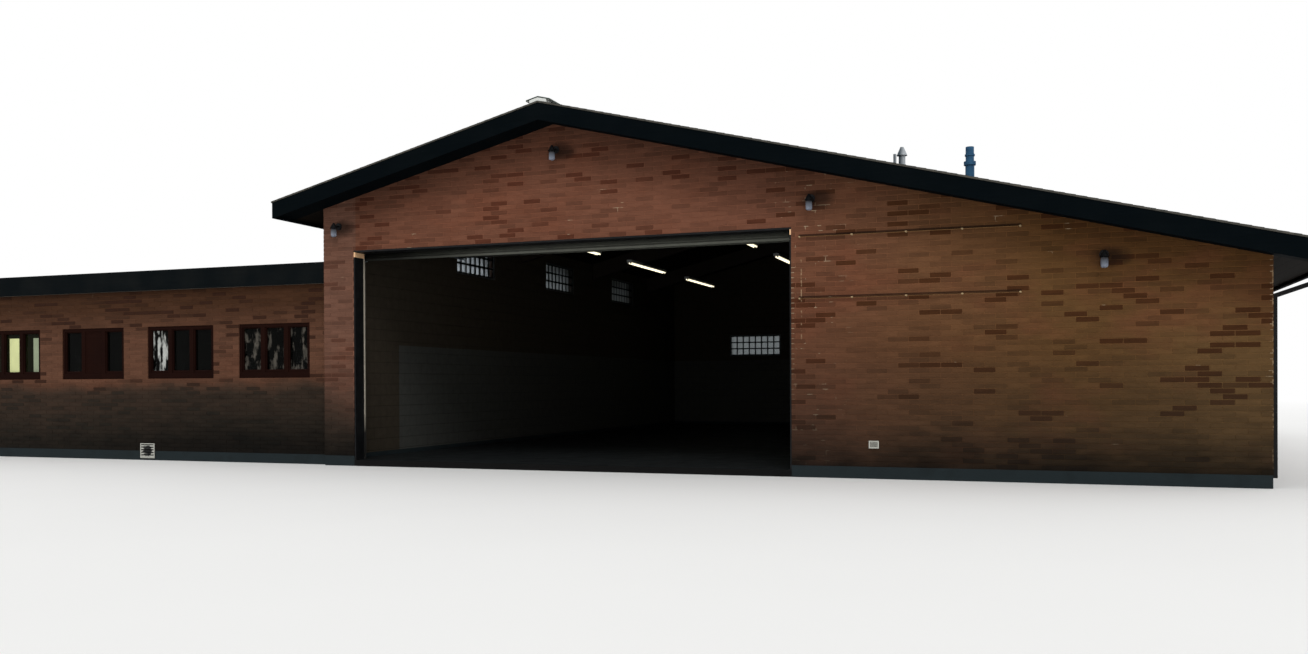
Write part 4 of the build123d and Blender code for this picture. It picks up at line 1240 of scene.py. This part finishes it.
# Floor, sky, lamp and camera of the studio. Far from the building the floor fades into the backdrop
floor_size, floor_drop = 400, 0.002
fade_from, fade_to = 26, 70
floor_finish = Finish("pale studio floor", roughness=0.9)
floor_tone = floor_finish.mix(floor_finish.noise(0.3, 2), (0.87, 0.87, 0.86, 1), (0.90, 0.90, 0.89, 1))
floor_finish.feed("Base Color", floor_tone)
length_of = {"operation": "LENGTH"}
from_middle = floor_finish.node("ShaderNodeVectorMath", length_of, {0: floor_finish.place}, output="Value")
backdrop = floor_finish.node("ShaderNodeEmission", sockets={"Color": (1, 1, 1, 1)})
camera_ray = floor_finish.node("ShaderNodeLightPath", output="Is Camera Ray")
fade = floor_finish.steps(from_middle, fade_from, fade_to) * camera_ray
floor_surface = Value(floor_finish, floor_finish.shader.outputs[0])
faded = floor_finish.node("ShaderNodeMixShader", sockets={0: fade, 1: floor_surface, 2: backdrop})
floor_output = floor_finish.nodes.nodes["Material Output"]
floor_finish.nodes.links.new(faded.socket, floor_output.inputs["Surface"])
floor_shape = bmesh.new()
bmesh.ops.create_grid(floor_shape, x_segments=1, y_segments=1, size=floor_size / 2)
floor_mesh = bpy.data.meshes.new("studio_floor")
floor_shape.to_mesh(floor_mesh)
floor_shape.free()
floor_mesh.materials.append(floor_finish.material)
studio_floor = bpy.data.objects.new("studio_floor", floor_mesh)
studio_floor.location.z = -floor_drop
bpy.context.scene.collection.objects.link(studio_floor)

sky_light = 0.80
world = bpy.data.worlds.new("studio")
world.use_nodes = True
bpy.context.scene.world = world
sky = Tree(world.node_tree)
background = world.node_tree.nodes["Background"]
rays = world.node_tree.nodes.new("ShaderNodeLightPath")
seen = [Value(sky, rays.outputs[name]) for name in ("Is Camera Ray", "Is Glossy Ray", "Is Transmission Ray")]
shows_white = seen[0].most(seen[1]).most(seen[2])
world.node_tree.links.new((shows_white * (1 - sky_light) + sky_light).socket, background.inputs["Strength"])
background.inputs["Color"].default_value = (1, 1, 1, 1)

lamp = bpy.data.lights.new("soft key", "SUN")
lamp.energy = 1.0
lamp.angle = math.radians(25)
key = bpy.data.objects.new("soft key", lamp)
key.rotation_euler = (math.radians(48), 0, math.radians(28))
bpy.context.scene.collection.objects.link(key)

# The camera's place from the bay's front left corner, and its aim, fitted to the photograph
camera_from_corner = Vector((12.042, -16.21, 1.401))
camera_yaw, camera_pitch, camera_roll = 0.347, -0.0052, -0.0043
focal_length, vertical_shift = 30.148, 0.0482
level = Vector((math.cos(camera_yaw), math.sin(camera_yaw), 0))
ahead = Vector((-math.sin(camera_yaw), math.cos(camera_yaw), 0))
forward = ahead * math.cos(camera_pitch) + Vector((0, 0, math.sin(camera_pitch)))
upright = level.cross(forward)
camera_right = level * math.cos(camera_roll) + upright * math.sin(camera_roll)
camera_up = upright * math.cos(camera_roll) - level * math.sin(camera_roll)
lens = bpy.data.cameras.new("street view")
lens.lens, lens.sensor_width, lens.shift_y = focal_length, 36, vertical_shift
lens.clip_start, lens.clip_end = 0.1, 500
camera = bpy.data.objects.new("street view", lens)
turn = Matrix((camera_right, camera_up, -forward)).transposed().to_4x4()
camera.matrix_world = Matrix.Translation(Vector((left_x, front_y, 0)) + camera_from_corner) @ turn
bpy.context.scene.collection.objects.link(camera)
bpy.context.scene.camera = camera
bpy.context.scene.view_settings.view_transform = "Standard"
